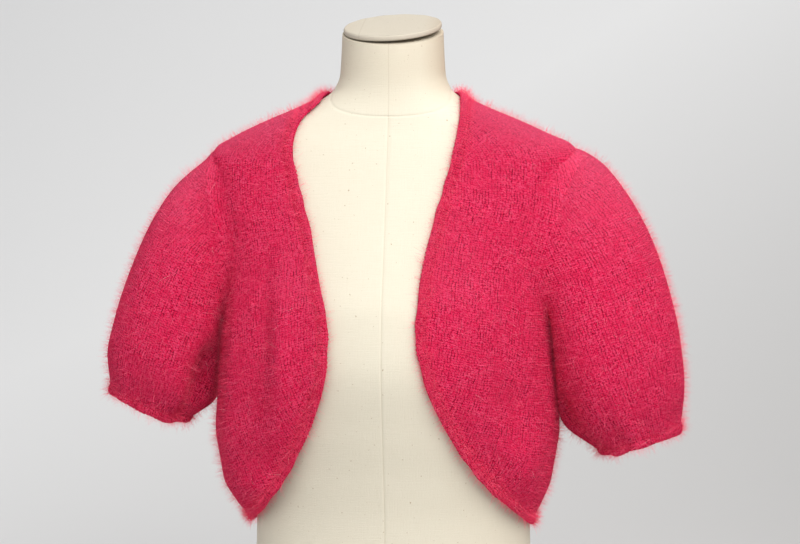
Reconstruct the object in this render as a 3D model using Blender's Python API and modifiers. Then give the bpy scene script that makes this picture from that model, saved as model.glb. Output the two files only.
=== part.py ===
# A cropped, open-fronted cardigan in brushed knit, with short full sleeves,
# worn by a limbless dress form. Metres, +Z up. The origin is the middle of the
# form's flat base, and the front faces -Y.

import bmesh
import bpy
import numpy as np
from math import cos, pi, radians, sin

# Knit and seams
knit_wall = 0.003
seam_gap = 0.0003
band_width = 0.011
band_gap = 0.0005
cuff_height = 0.009
cuff_gap = 0.0005

# Sections of the narrow band, from its finished edge, and of the cuff, from the sleeve
band_profile = (
    (0.0000, -0.0008),
    (0.0012, 0.0003),
    (0.0055, 0.0006),
    (0.0100, 0.0003),
    (band_width, -0.0006),
    (band_width, -knit_wall),
    (0.0014, -knit_wall),
    (0.0000, -0.0022),
)
cuff_profile = (
    (0.0000, -0.0001),
    (0.0025, 0.0010),
    (0.0065, 0.0010),
    (cuff_height, -0.0008),
    (cuff_height, -0.0024),
    (0.0070, -0.0036),
    (0.0000, -knit_wall),
)

# Heights of the body
armpit_height = 0.415
shoulder_height = 0.587
armhole_front_reach = {"left": radians(22), "right": radians(31)}
armhole_back_reach = radians(33)

# Grid sizes of the lofts
armhole_steps = 16
side_rows = 11
side_spread = 1.15
shoulder_rows = 6
front_columns = 10
back_columns = 20
edge_points = 960
edge_softness = 0.016
hem_row_length = 0.075
neck_row_length = 0.014
hem_blend = 4
neck_blend = 8
back_neck_blend = 6
form_turns = 40
lower_levels = 18
slope_start = 0.52
slope_end = 0.66
slope_levels = 15
neck_levels = 3
sharp_edge = radians(50)
knit_roughness = 0.9
cover_roughness = 0.85

# Dress form: half sizes of the level sections of the torso and neck
form_columns = ("height", "side", "front", "back")
form_sections = (
    (0.000, 0.1690, 0.1020, 0.1160),
    (0.050, 0.1680, 0.1030, 0.1180),
    (0.100, 0.1600, 0.1000, 0.1090),
    (0.150, 0.1460, 0.0930, 0.0950),
    (0.200, 0.1380, 0.0890, 0.0860),
    (0.225, 0.1378, 0.0905, 0.0850),
    (0.270, 0.1425, 0.0990, 0.0880),
    (0.320, 0.1500, 0.1130, 0.0945),
    (0.385, 0.1575, 0.1270, 0.1030),
    (0.430, 0.1615, 0.1220, 0.1080),
    (0.470, 0.1660, 0.1070, 0.1070),
    (0.510, 0.1740, 0.0900, 0.1010),
    (0.545, 0.1810, 0.0760, 0.0900),
    (0.575, 0.1790, 0.0650, 0.0790),
    (0.590, 0.1690, 0.0600, 0.0730),
    (0.600, 0.1560, 0.0565, 0.0690),
    (0.610, 0.1370, 0.0530, 0.0650),
    (0.620, 0.1145, 0.0505, 0.0615),
    (0.630, 0.0905, 0.0485, 0.0580),
    (0.640, 0.0710, 0.0470, 0.0555),
    (0.650, 0.0585, 0.0465, 0.0535),
    (0.665, 0.0525, 0.0475, 0.0515),
    (0.710, 0.0500, 0.0490, 0.0495),
)
neck_seat_height = 0.706
neck_tilt_start = 0.655
neck_tilt = radians(15)
cap_radius = 0.0488
cap_thickness = 0.0056
cap_round = 0.0022
cap_roll = radians(2.6)

# How far the knit's outside stands off the form, on each side
ease_columns = ("height", "left", "right", "front", "back")
body_ease = (
    (0.205, 0.0044, 0.0040, 0.0040, 0.0040),
    (0.220, 0.0072, 0.0043, 0.0043, 0.0043),
    (0.238, 0.0200, 0.0110, 0.0080, 0.0080),
    (0.262, 0.0300, 0.0175, 0.0130, 0.0130),
    (0.300, 0.0310, 0.0190, 0.0150, 0.0170),
    (0.345, 0.0235, 0.0130, 0.0090, 0.0150),
    (0.400, 0.0150, 0.0062, 0.0042, 0.0090),
    (0.450, 0.0085, 0.0044, 0.0041, 0.0048),
    (0.520, 0.0042, 0.0040, 0.0040, 0.0040),
    (0.700, 0.0039, 0.0039, 0.0039, 0.0039),
)
shoulder_lift = 0.0026
lift_start = 0.53
lift_end = 0.60

# Soft folds of the body: ridges raised on the outside
fold_columns = ("angle", "height", "half_width", "half_length", "rise", "lean")
body_folds = (
    (-62, 0.330, 7.0, 0.090, 0.0050, 40),
    (-40, 0.310, 6.0, 0.070, 0.0036, 25),
    (38, 0.300, 6.5, 0.080, 0.0042, -35),
    (60, 0.325, 7.5, 0.085, 0.0046, -45),
    (-118, 0.320, 8.0, 0.090, 0.0050, -30),
    (-148, 0.300, 7.0, 0.070, 0.0042, -12),
    (176, 0.310, 8.0, 0.080, 0.0036, 6),
    (142, 0.295, 7.0, 0.075, 0.0044, 15),
    (114, 0.325, 7.5, 0.085, 0.0048, 32),
)

# The finished edge of the fronts: its distance from the middle plane at each height
edge_columns = ("height", "left", "right")
front_edge = (
    (0.220, 0.1390, 0.1385),
    (0.232, 0.1275, 0.1275),
    (0.248, 0.1132, 0.1125),
    (0.270, 0.0985, 0.0940),
    (0.300, 0.0815, 0.0735),
    (0.335, 0.0658, 0.0545),
    (0.375, 0.0530, 0.0400),
    (0.415, 0.0508, 0.0320),
    (0.460, 0.0600, 0.0350),
    (0.515, 0.0726, 0.0446),
    (0.560, 0.0862, 0.0566),
    (0.590, 0.0928, 0.0634),
    (0.612, 0.0905, 0.0663),
    (0.621, 0.0867, 0.0670),
    (0.630, 0.0800, 0.0675),
    (0.640, 0.0690, 0.0672),
)
edge_heights = 43
hem_height = 0.2150
hem_back_height = 0.2170
neck_side_height = 0.6490
neck_back_height = 0.6460

# Sleeves: the outermost and innermost point of each section, and half its depth
sleeve_columns = ("along", "outer_x", "outer_z", "inner_x", "inner_z", "half_depth")
sleeve_sections = {
    "left": (
        (0.00, 0.1720, 0.588, 0.1700, 0.415, 0.060),
        (0.12, 0.1955, 0.578, 0.1700, 0.404, 0.068),
        (0.25, 0.2175, 0.556, 0.1700, 0.390, 0.075),
        (0.40, 0.2425, 0.515, 0.1700, 0.376, 0.079),
        (0.55, 0.2630, 0.470, 0.1710, 0.363, 0.080),
        (0.70, 0.2790, 0.423, 0.1740, 0.350, 0.077),
        (0.85, 0.2880, 0.385, 0.1830, 0.334, 0.068),
        (1.00, 0.2860, 0.357, 0.2030, 0.320, 0.055),
    ),
    "right": (
        (0.00, 0.1730, 0.588, 0.1660, 0.415, 0.060),
        (0.12, 0.2005, 0.579, 0.1620, 0.402, 0.069),
        (0.25, 0.2265, 0.553, 0.1600, 0.386, 0.077),
        (0.40, 0.2535, 0.508, 0.1590, 0.369, 0.082),
        (0.55, 0.2725, 0.457, 0.1580, 0.353, 0.083),
        (0.70, 0.2855, 0.406, 0.1600, 0.337, 0.080),
        (0.85, 0.2910, 0.357, 0.1720, 0.316, 0.071),
        (1.00, 0.2880, 0.323, 0.2030, 0.294, 0.056),
    ),
}
sleeve_rings = 16
body_clearance = 0.0015
clearance_softness = 0.004
rim_gap = 0.00036
fullness = 0.8

# Soft troughs of the sleeves, as a share of the half width: gathers at the cuff, then folds
crease_columns = ("phase", "along", "half_width", "half_length", "share")
sleeve_creases = (
    (22, 1.00, 13, 0.20, 0.075),
    (60, 1.00, 12, 0.15, 0.055),
    (97, 1.00, 15, 0.24, 0.085),
    (138, 1.00, 12, 0.15, 0.050),
    (181, 1.00, 13, 0.18, 0.060),
    (222, 1.00, 12, 0.16, 0.055),
    (262, 1.00, 15, 0.24, 0.085),
    (301, 1.00, 12, 0.16, 0.060),
    (338, 1.00, 13, 0.20, 0.070),
    (36, 0.74, 17, 0.22, 0.070),
    (118, 0.50, 16, 0.20, 0.035),
    (322, 0.70, 17, 0.24, 0.060),
    (232, 0.48, 17, 0.22, 0.040),
)
crease_shift = {"left": 0, "right": 7}

side_signs = {"left": -1, "right": 1}
knit_colour = (0.60, 0.045, 0.115, 1)
band_colour = (0.55, 0.035, 0.095, 1)
cover_colour = (0.87, 0.83, 0.72, 1)


def column(table, names, name):
    place = names.index(name)
    return np.array([row[place] for row in table], float)


def smooth(at, knots, values):
    """A monotone cubic through the knots, held level beyond the first and last."""
    at = np.clip(at, knots[0], knots[-1])
    steps = np.diff(knots)
    slopes = np.diff(values) / steps
    same_way = slopes[:-1] * slopes[1:] > 0
    safe = np.where(same_way, slopes[:-1] + slopes[1:], 1)
    middle = np.where(same_way, 2 * slopes[:-1] * slopes[1:] / safe, 0)
    tangents = np.concatenate([slopes[:1], middle, slopes[-1:]])
    place = np.clip(np.searchsorted(knots, at, side="right") - 1, 0, len(steps) - 1)
    part = (at - knots[place]) / steps[place]
    rest = 1 - part
    return (
        values[place] * rest**2 * (1 + 2 * part)
        + values[place + 1] * part**2 * (3 - 2 * part)
        + steps[place] * part * rest * (tangents[place] * rest - tangents[place + 1] * part)
    )


def read(table, names, name, at):
    return smooth(at, column(table, names, names[0]), column(table, names, name))


def ramp(at, start, end):
    part = np.clip((at - start) / (end - start), 0, 1)
    return part * part * (3 - 2 * part)


def form_points(angle, height):
    """Points of the form's level sections. The angle is 0 at the front, 90 degrees at +X."""
    side = read(form_sections, form_columns, "side", height)
    front = read(form_sections, form_columns, "front", height)
    back = read(form_sections, form_columns, "back", height)
    depth = np.where(np.cos(angle) > 0, front, back)
    return side * np.sin(angle), -depth * np.cos(angle)


def fold_rise(angle, height):
    rise = np.zeros(np.broadcast(angle, height).shape)
    for row in body_folds:
        fold = dict(zip(fold_columns, row))
        middle = radians(fold["angle"]) + radians(fold["lean"]) * (height - fold["height"])
        apart = (angle - middle + pi) % (2 * pi) - pi
        across = apart / radians(fold["half_width"])
        along = (height - fold["height"]) / fold["half_length"]
        rise = rise + fold["rise"] * np.exp(-across**2 - along**2)
    return rise


def body_points(angle, height):
    """Points of the body's outer surface, as arrays of x, y, z."""
    angle, height = np.broadcast_arrays(np.asarray(angle, float), np.asarray(height, float))
    beside = read(body_ease, ease_columns, "right", height)
    left = read(body_ease, ease_columns, "left", height)
    beside = np.where(np.sin(angle) < 0, left, beside)
    front = read(body_ease, ease_columns, "front", height)
    back = read(body_ease, ease_columns, "back", height)
    facing = np.where(np.cos(angle) > 0, front, back)
    ease = beside * np.sin(angle) ** 2 + facing * np.cos(angle) ** 2 + fold_rise(angle, height)
    lifted = height - shoulder_lift * ramp(height, lift_start, lift_end)
    x, y = form_points(angle, lifted)
    return np.stack([x + ease * np.sin(angle), y - ease * np.cos(angle), height], axis=-1)


def body_slopes(angle, height):
    """How the body's surface moves with its angle and with its height."""
    turn, rise = 1e-4, 1e-5
    by_angle = (body_points(angle + turn, height) - body_points(angle - turn, height)) / (2 * turn)
    by_height = (body_points(angle, height + rise) - body_points(angle, height - rise)) / (2 * rise)
    return by_angle, by_height


def body_normals(angle, height):
    by_angle, by_height = body_slopes(angle, height)
    normals = np.cross(by_angle, by_height)
    return normals / np.linalg.norm(normals, axis=-1, keepdims=True)


def edge_angle(sign, height, aside):
    """The angle at which the body's surface stands this far from the middle plane."""
    turns = np.linspace(0, pi / 2, 91)
    reach = np.abs(body_points(sign * turns[:, None], height[None, :])[..., 0])
    return sign * np.array([np.interp(x, across, turns) for x, across in zip(aside, reach.T)])


def edge_line():
    """The garment's finished edge, once round, as angles and heights: from the middle of the
    back hem to the left front, the back of the neck, the right front and back again."""
    height = np.linspace(front_edge[0][0], front_edge[-1][0], edge_heights)
    left, right = (
        edge_angle(sign, height, read(front_edge, edge_columns, name, height))
        for name, sign in side_signs.items()
    )
    line = [(-pi, hem_back_height), (-pi * 0.7, hem_back_height), (-pi / 2, hem_height)]
    line += list(zip(left, height))
    line += [(-pi / 2, neck_side_height), (-pi * 0.7, neck_back_height + 0.0015)]
    line += [(-pi, neck_back_height), (-pi * 1.3, neck_back_height + 0.0015)]
    line += [(-pi * 1.5, neck_side_height)]
    line += list(zip(right[::-1] - 2 * pi, height[::-1]))
    line += [(-pi * 1.5, hem_height), (-pi * 1.3, hem_back_height)]
    return softened(np.array(line))


def softened(corners):
    """A closed line through these corners, in even steps along the body, with each turn eased."""
    following = np.roll(corners, -1, axis=0)
    parts = np.linspace(0, 1, 24, endpoint=False)[None, :, None]
    fine = (corners[:, None] * (1 - parts) + following[:, None] * parts).reshape(-1, 2)
    fine = np.concatenate([fine, fine[:1]])
    steps = np.diff(body_points(fine[:, 0], fine[:, 1]), axis=0)
    run = np.concatenate([[0], np.cumsum(np.linalg.norm(steps, axis=1))])
    even = np.linspace(0, run[-1], edge_points, endpoint=False)
    line = np.stack([np.interp(even, run, fine[:, axis]) for axis in range(2)], axis=1)
    reach = round(edge_softness / run[-1] * edge_points)
    weights = np.hanning(2 * reach + 3)[1:-1]
    eased = sum(
        weight * np.roll(line, offset, axis=0)
        for weight, offset in zip(weights, range(-reach, reach + 1))
    )
    return eased / weights.sum()


def inset(line, distance):
    """The same closed line moved into the garment, along the body's surface."""
    ahead = np.roll(line, -1, axis=0) - np.roll(line, 1, axis=0)
    by_angle, by_height = body_slopes(line[:, 0], line[:, 1])
    tangent = by_angle * ahead[:, :1] + by_height * ahead[:, 1:]
    inward = np.cross(body_normals(line[:, 0], line[:, 1]), tangent)
    inward *= distance / np.linalg.norm(inward, axis=1, keepdims=True)
    slopes = np.stack([by_angle, by_height], axis=2)
    return line + np.einsum("nij,nj->ni", np.linalg.pinv(slopes), inward)


def seam_edge():
    """The line along which the panels meet the band."""
    return inset(edge_line(), band_width + band_gap)


def front_seam_edge(name):
    """That line along one front, from its hem at the side to its neck at the side."""
    line = seam_edge()
    if name == "left":
        return line[line[:, 0] > -pi / 2]
    return line[line[:, 0] < -pi * 1.5][::-1] + (2 * pi, 0)


def turn_gap(angle, height, distance):
    """The angle that spans a distance along the body."""
    by_angle = body_slopes(angle, height)[0]
    return distance / np.linalg.norm(by_angle, axis=-1)


def side_line(name, reach, away):
    """The side seam, the armhole and the shoulder seam of a panel, from hem to neck, as angles
    and heights. away is -1 towards the front and 1 towards the back."""
    sign = side_signs[name]
    edge = front_seam_edge(name)
    low, high = edge[0, 1], edge[-1, 1]
    middle, half = (armpit_height + shoulder_height) / 2, (shoulder_height - armpit_height) / 2
    spread = np.linspace(0, 1, side_rows, endpoint=False) ** side_spread
    below = low + (armpit_height - low) * spread
    phase = np.linspace(0, pi, armhole_steps + 1)
    above = np.linspace(shoulder_height, high, shoulder_rows + 1)[1:]
    height = np.concatenate([below, middle - half * np.cos(phase), above])
    bow = np.clip(np.sin(phase), 0, 1) ** fullness
    swing = np.concatenate([below * 0, reach * bow, above * 0])
    gap = turn_gap(sign * pi / 2, height, seam_gap / 2)
    return sign * (pi / 2 + away * (gap + swing)), height


def face_grid(mesh, outer, inner, wrap):
    """Faces of a wall between two grids of points, closed along its rims."""
    rows, columns = outer.shape[:2]
    outside = [[mesh.verts.new(point) for point in row] for row in outer]
    inside = [[mesh.verts.new(point) for point in row] for row in inner]
    spans = columns if wrap else columns - 1
    for row in range(rows - 1):
        for place in range(spans):
            beside = (place + 1) % columns
            for skin in (outside, inside):
                low, high = skin[row], skin[row + 1]
                mesh.faces.new((low[place], low[beside], high[beside], high[place]))
    rims = [(0, place, 0, (place + 1) % columns) for place in range(spans)]
    rims += [(rows - 1, place, rows - 1, (place + 1) % columns) for place in range(spans)]
    if not wrap:
        for place in (0, columns - 1):
            rims += [(row, place, row + 1, place) for row in range(rows - 1)]
    for row, place, next_row, next_place in rims:
        corners = (outside[row][place], outside[next_row][next_place])
        mesh.faces.new(corners + (inside[next_row][next_place], inside[row][place]))
    bmesh.ops.recalc_face_normals(mesh, faces=mesh.faces)


def material(name, colour, roughness):
    made = bpy.data.materials.new(name)
    made.use_nodes = True
    shader = made.node_tree.nodes["Principled BSDF"]
    shader.inputs["Base Color"].default_value = colour
    shader.inputs["Roughness"].default_value = roughness
    shader.inputs["Metallic"].default_value = 0
    made.diffuse_color = colour
    return made


def add_object(name, mesh, collection, parent, colour, roughness):
    """Puts a finished bmesh in the scene as one named part."""
    data = bpy.data.meshes.new(name)
    mesh.to_mesh(data)
    mesh.free()
    data.shade_smooth()
    data.set_sharp_from_angle(angle=sharp_edge)
    data.materials.append(material(name, colour, roughness))
    part = bpy.data.objects.new(name, data)
    collection.objects.link(part)
    part.parent = parent
    return part


def wall_part(name, outer, inner, wrap, colour, collection, parent):
    mesh = bmesh.new()
    face_grid(mesh, outer, inner, wrap)
    return add_object(name, mesh, collection, parent, colour, knit_roughness)


def panel_wall(angle, height):
    outer = body_points(angle, height)
    return outer, outer - knit_wall * body_normals(angle, height)


def front_grid(name):
    """Angles and heights over one front: from the finished edge to the side and armhole."""
    side_angle, side_height = side_line(name, armhole_front_reach[name], -1)
    edge = front_seam_edge(name)
    steps = np.diff(body_points(edge[:, 0], edge[:, 1]), axis=0)
    run = np.concatenate([[0], np.cumsum(np.linalg.norm(steps, axis=1))])
    last = run[-1] - neck_row_length

    def edge_at(distance):
        return np.stack([np.interp(distance, run, edge[:, axis]) for axis in range(2)], axis=-1)

    share = (side_height - side_height[0]) / (side_height[-1] - side_height[0])
    start, end = edge_at(hem_row_length)[1], edge_at(last)[1]
    within = (run >= hem_row_length) & (run <= last)
    along = np.interp(start + share * (end - start), edge[within, 1], run[within])
    along[0], along[-1] = hem_row_length, last
    across = np.linspace(0, 1, front_columns + 1)
    low = edge_at(hem_row_length * (1 - across))
    high = edge_at(run[-1] - neck_row_length * (1 - across))
    inner_ends = edge_at(along)[:, None]
    outer_ends = np.stack([side_angle, side_height], axis=1)[:, None]
    low[-1], high[-1] = outer_ends[0, 0], outer_ends[-1, 0]
    across, up = across[None, :, None], share[:, None, None]
    grid = (1 - across) * inner_ends + across * outer_ends
    low_off, high_off = low - grid[0], high - grid[-1]
    grid += (1 - up) ** hem_blend * low_off + up**neck_blend * high_off
    return grid[..., 0], grid[..., 1]


def back_grid():
    """Angles and heights over the back, from the right side to the left."""
    right_angle, right_height = side_line("right", armhole_back_reach, 1)
    left_angle, left_height = side_line("left", armhole_back_reach, 1)
    left_angle = left_angle + 2 * pi
    line = seam_edge()
    turned = line[:, 0] + 2 * pi
    behind = (turned > pi * 0.45) & (turned < pi * 1.55)
    across = np.linspace(0, 1, back_columns + 1)[None, :]
    angle = (1 - across) * right_angle[:, None] + across * left_angle[:, None]
    height = (1 - across) * right_height[:, None] + across * left_height[:, None]
    share = (right_height - right_height[0]) / (right_height[-1] - right_height[0])
    hem = behind & (line[:, 1] < armpit_height)
    neck = behind & (line[:, 1] > armpit_height)
    for row, edge, weight in (
        (0, hem, (1 - share) ** hem_blend),
        (-1, neck, share**back_neck_blend),
    ):
        order = np.argsort(turned[edge])
        wanted = np.interp(angle[row], turned[edge][order], line[edge, 1][order])
        height = height + weight[:, None] * (wanted - height[row])[None, :]
    return angle, height


def panel_edges():
    """The panels' edge points in turn round the garment, in the order of the finished edge."""
    left, right, back = (
        np.stack(grid, axis=-1) for grid in (front_grid("left"), front_grid("right"), back_grid())
    )
    turned = np.array((2 * pi, 0))
    rows = [left[0, ::-1], left[1:-1, 0], left[-1], back[-1, -2:0:-1] - turned]
    rows += [right[-1, ::-1] - turned, right[-2:0:-1, 0] - turned, right[0] - turned]
    rows += [back[0, 1:-1] - turned]
    return np.concatenate(rows)


def band_wall():
    """The narrow band round the fronts, neck and hem, as a ring of small rounded sections."""
    line = panel_edges()
    rings = []
    for across, proud in band_profile:
        place = inset(line, across - band_width - band_gap)
        normal = body_normals(place[:, 0], place[:, 1])
        rings.append(body_points(place[:, 0], place[:, 1]) + proud * normal)
    return np.stack(rings, axis=1)


def push_out(points):
    """Moves sleeve points that lie in the body to just outside it."""
    x, y, z = np.moveaxis(points, -1, 0)
    heading = np.arctan2(x, -y)
    angle = heading
    for _ in range(6):
        skin = body_points(angle, z)
        angle = angle + heading - np.arctan2(skin[..., 0], -skin[..., 1])
    here = np.hypot(x, y)
    short = np.hypot(skin[..., 0], skin[..., 1]) + body_clearance - here
    soft = clearance_softness
    eased = (short + soft) ** 2 / (4 * soft)
    lift = np.where(short > soft, short, np.where(short > -soft, eased, 0))
    scale = (here + lift) / here
    return np.stack([x * scale, y * scale, z], axis=-1)


def armhole_ring(name):
    """The armhole's rim on the body's outside: from the armpit up the front, over, and down."""
    sign = side_signs[name]
    phase = np.linspace(0, 2 * pi, 2 * armhole_steps, endpoint=False)
    middle, half = (armpit_height + shoulder_height) / 2, (shoulder_height - armpit_height) / 2
    reach = np.where(phase < pi, -armhole_front_reach[name], armhole_back_reach)
    height = middle - half * np.cos(phase)
    return sign * (pi / 2 + reach * np.abs(np.sin(phase)) ** fullness), height, phase


def crease_share(name, along, phase):
    share = np.zeros(len(phase))
    for row in sleeve_creases:
        crease = dict(zip(crease_columns, row))
        apart = np.degrees(phase) - crease["phase"] - crease_shift[name]
        across = ((apart + 180) % 360 - 180) / crease["half_width"]
        down = (along - crease["along"]) / crease["half_length"]
        share = share + crease["share"] * np.exp(-across**2 - down**2)
    return share


def sleeve_ring(name, along, phase):
    """One section of the sleeve: an oval from its inner point, round the front, to its outer."""
    sign = side_signs[name]
    values = {
        key: read(sleeve_sections[name], sleeve_columns, key, along) for key in sleeve_columns[1:]
    }
    inner = np.array([values["inner_x"], 0, values["inner_z"]])
    outer = np.array([values["outer_x"], 0, values["outer_z"]])
    full = 1 - crease_share(name, along, phase)
    middle, half = (inner + outer) / 2, (outer - inner) / 2
    points = middle - (np.cos(phase) * full)[:, None] * half
    bow = np.sign(np.sin(phase)) * np.abs(np.sin(phase)) ** fullness
    points[:, 1] = -bow * full * values["half_depth"]
    points[:, 0] *= sign
    return points


def sleeve_wall(name):
    """The sleeve's outer and inner grids, from the armhole's rim to the cuff."""
    angle, height, phase = armhole_ring(name)
    rim = body_points(angle, height)
    places = np.linspace(0, 1, sleeve_rings + 1)[1:]
    rings = np.stack([sleeve_ring(name, along, phase) for along in places])
    settle = (1 - places[:, None, None]) ** 3
    first = sleeve_ring(name, 0, phase)
    rings = push_out(rings + settle * (rim - first))
    by_angle, by_height = body_slopes(angle, height)
    normal = body_normals(angle, height)
    tangent = np.roll(rim, -1, axis=0) - np.roll(rim, 1, axis=0)
    into = np.cross(tangent, normal)
    into /= np.linalg.norm(into, axis=1, keepdims=True)
    centre = rim.mean(axis=0)
    into *= np.sign(np.sum(into * (centre - rim), axis=1))[:, None]
    leave = rings[0] - rim
    swing = np.arctan2(np.sum(leave * normal, axis=1), np.sum(leave * into, axis=1))
    swing = np.clip(swing, 0, pi / 2)[:, None]
    facing = into * np.cos(swing) + normal * np.sin(swing)
    inward = into * np.sin(swing) - normal * np.cos(swing)
    outer = np.concatenate([(rim + rim_gap * facing)[None], rings])
    around = np.roll(outer, -1, axis=1) - np.roll(outer, 1, axis=1)
    down = np.gradient(outer, axis=0)
    normals = np.cross(down, around)
    normals /= np.linalg.norm(normals, axis=2, keepdims=True)
    middle = outer.mean(axis=1, keepdims=True)
    normals *= np.sign(np.sum(normals * (outer - middle), axis=(1, 2)))[:, None, None]
    inner = outer - knit_wall * normals
    inner[0] = outer[0] + knit_wall * inward
    return outer, inner


def cuff_rings(name):
    """The narrow cuff that draws the sleeve in, as a ring of small rounded sections."""
    outer, inner = sleeve_wall(name)
    rim, lining = outer[-1], inner[-1]
    around = np.roll(rim, -1, axis=0) - np.roll(rim, 1, axis=0)
    wall = rim - lining
    down = np.cross(around, wall)
    down /= np.linalg.norm(down, axis=1, keepdims=True)
    down *= np.sign(-down[:, 2:])
    down = down.mean(axis=0)
    down /= np.linalg.norm(down)
    wall /= np.linalg.norm(wall, axis=1, keepdims=True)
    rings = [rim + (cuff_gap + fall) * down + proud * wall for fall, proud in cuff_profile]
    return np.stack(rings, axis=1)


def ring_part(name, rings, colour, collection, parent):
    """A closed ring whose sections are rows of points."""
    mesh = bmesh.new()
    rows = [[mesh.verts.new(point) for point in row] for row in rings]
    for index, row in enumerate(rows):
        following = rows[(index + 1) % len(rows)]
        for place in range(len(row)):
            beside = (place + 1) % len(row)
            mesh.faces.new((row[place], row[beside], following[beside], following[place]))
    bmesh.ops.recalc_face_normals(mesh, faces=mesh.faces)
    return add_object(name, mesh, collection, parent, colour, knit_roughness)


def form_torso(collection, parent):
    """The torso and neck: a loft of level sections that tilt towards the neck's top."""
    lower = np.linspace(0, slope_start, lower_levels, endpoint=False)
    slope = np.linspace(slope_start, slope_end, slope_levels)
    neck = np.linspace(slope_end, neck_seat_height, neck_levels + 1)[1:]
    heights = np.concatenate([lower, slope, neck])
    angles = np.linspace(0, 2 * pi, form_turns, endpoint=False)
    mesh = bmesh.new()
    rows = []
    for height in heights:
        x, y = form_points(angles, np.full_like(angles, height))
        lean = np.tan(neck_tilt * ramp(height, neck_tilt_start, neck_seat_height))
        rows.append([mesh.verts.new(point) for point in zip(x, y, height + lean * y)])
    for low, high in zip(rows, rows[1:]):
        for place in range(form_turns):
            beside = (place + 1) % form_turns
            mesh.faces.new((low[place], low[beside], high[beside], high[place]))
    mesh.faces.new(rows[0][::-1])
    mesh.faces.new(rows[-1])
    bmesh.ops.recalc_face_normals(mesh, faces=mesh.faces)
    return add_object("form_torso", mesh, collection, parent, cover_colour, cover_roughness)


def form_cap(collection, parent):
    """The disc on the neck, tilted with it and lifted a little at one side."""
    mesh = bmesh.new()
    bmesh.ops.create_cone(
        mesh, cap_ends=True, segments=40, radius1=cap_radius, radius2=cap_radius, depth=cap_thickness
    )
    part = add_object("form_cap", mesh, collection, parent, cover_colour, cover_roughness)
    rounding = part.modifiers.new("rounding", "BEVEL")
    rounding.width = cap_round
    rounding.segments = 3
    rounding.limit_method = "ANGLE"
    lift = seam_gap + cap_radius * sin(cap_roll) + cap_thickness / 2
    part.location = (0, -lift * sin(neck_tilt), neck_seat_height + lift * cos(neck_tilt))
    part.rotation_euler = (neck_tilt, -cap_roll, 0)
    return part


def build():
    for old in list(bpy.data.objects):
        bpy.data.objects.remove(old, do_unlink=True)
    collection = bpy.data.collections.new("cardigan_on_form")
    bpy.context.scene.collection.children.link(collection)
    stand = bpy.data.objects.new("on_form", None)
    collection.objects.link(stand)

    form_torso(collection, stand)
    form_cap(collection, stand)
    wall_part("back", *panel_wall(*back_grid()), False, knit_colour, collection, stand)
    for name in side_signs:
        front = panel_wall(*front_grid(name))
        wall_part(f"front_{name}", *front, False, knit_colour, collection, stand)
        wall_part(f"sleeve_{name}", *sleeve_wall(name), True, knit_colour, collection, stand)
        ring_part(f"cuff_{name}", cuff_rings(name), band_colour, collection, stand)
    ring_part("edge_band", band_wall(), band_colour, collection, stand)


build()
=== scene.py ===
import bpy
import numpy as np
from math import cos, pi, radians, sin
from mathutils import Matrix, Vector


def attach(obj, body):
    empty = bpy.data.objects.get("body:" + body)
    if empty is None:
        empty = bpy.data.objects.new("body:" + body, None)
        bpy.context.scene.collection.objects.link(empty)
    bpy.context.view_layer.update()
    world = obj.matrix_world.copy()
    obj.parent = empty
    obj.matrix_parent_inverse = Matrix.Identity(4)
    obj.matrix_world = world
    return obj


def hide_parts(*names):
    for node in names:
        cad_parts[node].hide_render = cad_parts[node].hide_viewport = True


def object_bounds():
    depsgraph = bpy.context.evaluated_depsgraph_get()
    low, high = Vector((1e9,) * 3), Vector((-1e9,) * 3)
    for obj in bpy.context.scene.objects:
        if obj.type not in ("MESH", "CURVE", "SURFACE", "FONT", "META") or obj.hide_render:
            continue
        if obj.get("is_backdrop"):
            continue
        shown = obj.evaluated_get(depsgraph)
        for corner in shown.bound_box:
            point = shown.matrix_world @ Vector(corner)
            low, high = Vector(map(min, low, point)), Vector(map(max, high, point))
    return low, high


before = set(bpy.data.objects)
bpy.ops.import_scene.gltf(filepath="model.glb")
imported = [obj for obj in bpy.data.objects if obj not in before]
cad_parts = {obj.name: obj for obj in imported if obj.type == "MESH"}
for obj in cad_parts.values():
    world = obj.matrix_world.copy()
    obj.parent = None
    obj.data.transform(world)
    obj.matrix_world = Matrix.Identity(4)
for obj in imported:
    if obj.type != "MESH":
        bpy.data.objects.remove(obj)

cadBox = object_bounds()
sideSigns = {"left": -1, "right": 1}

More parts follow.
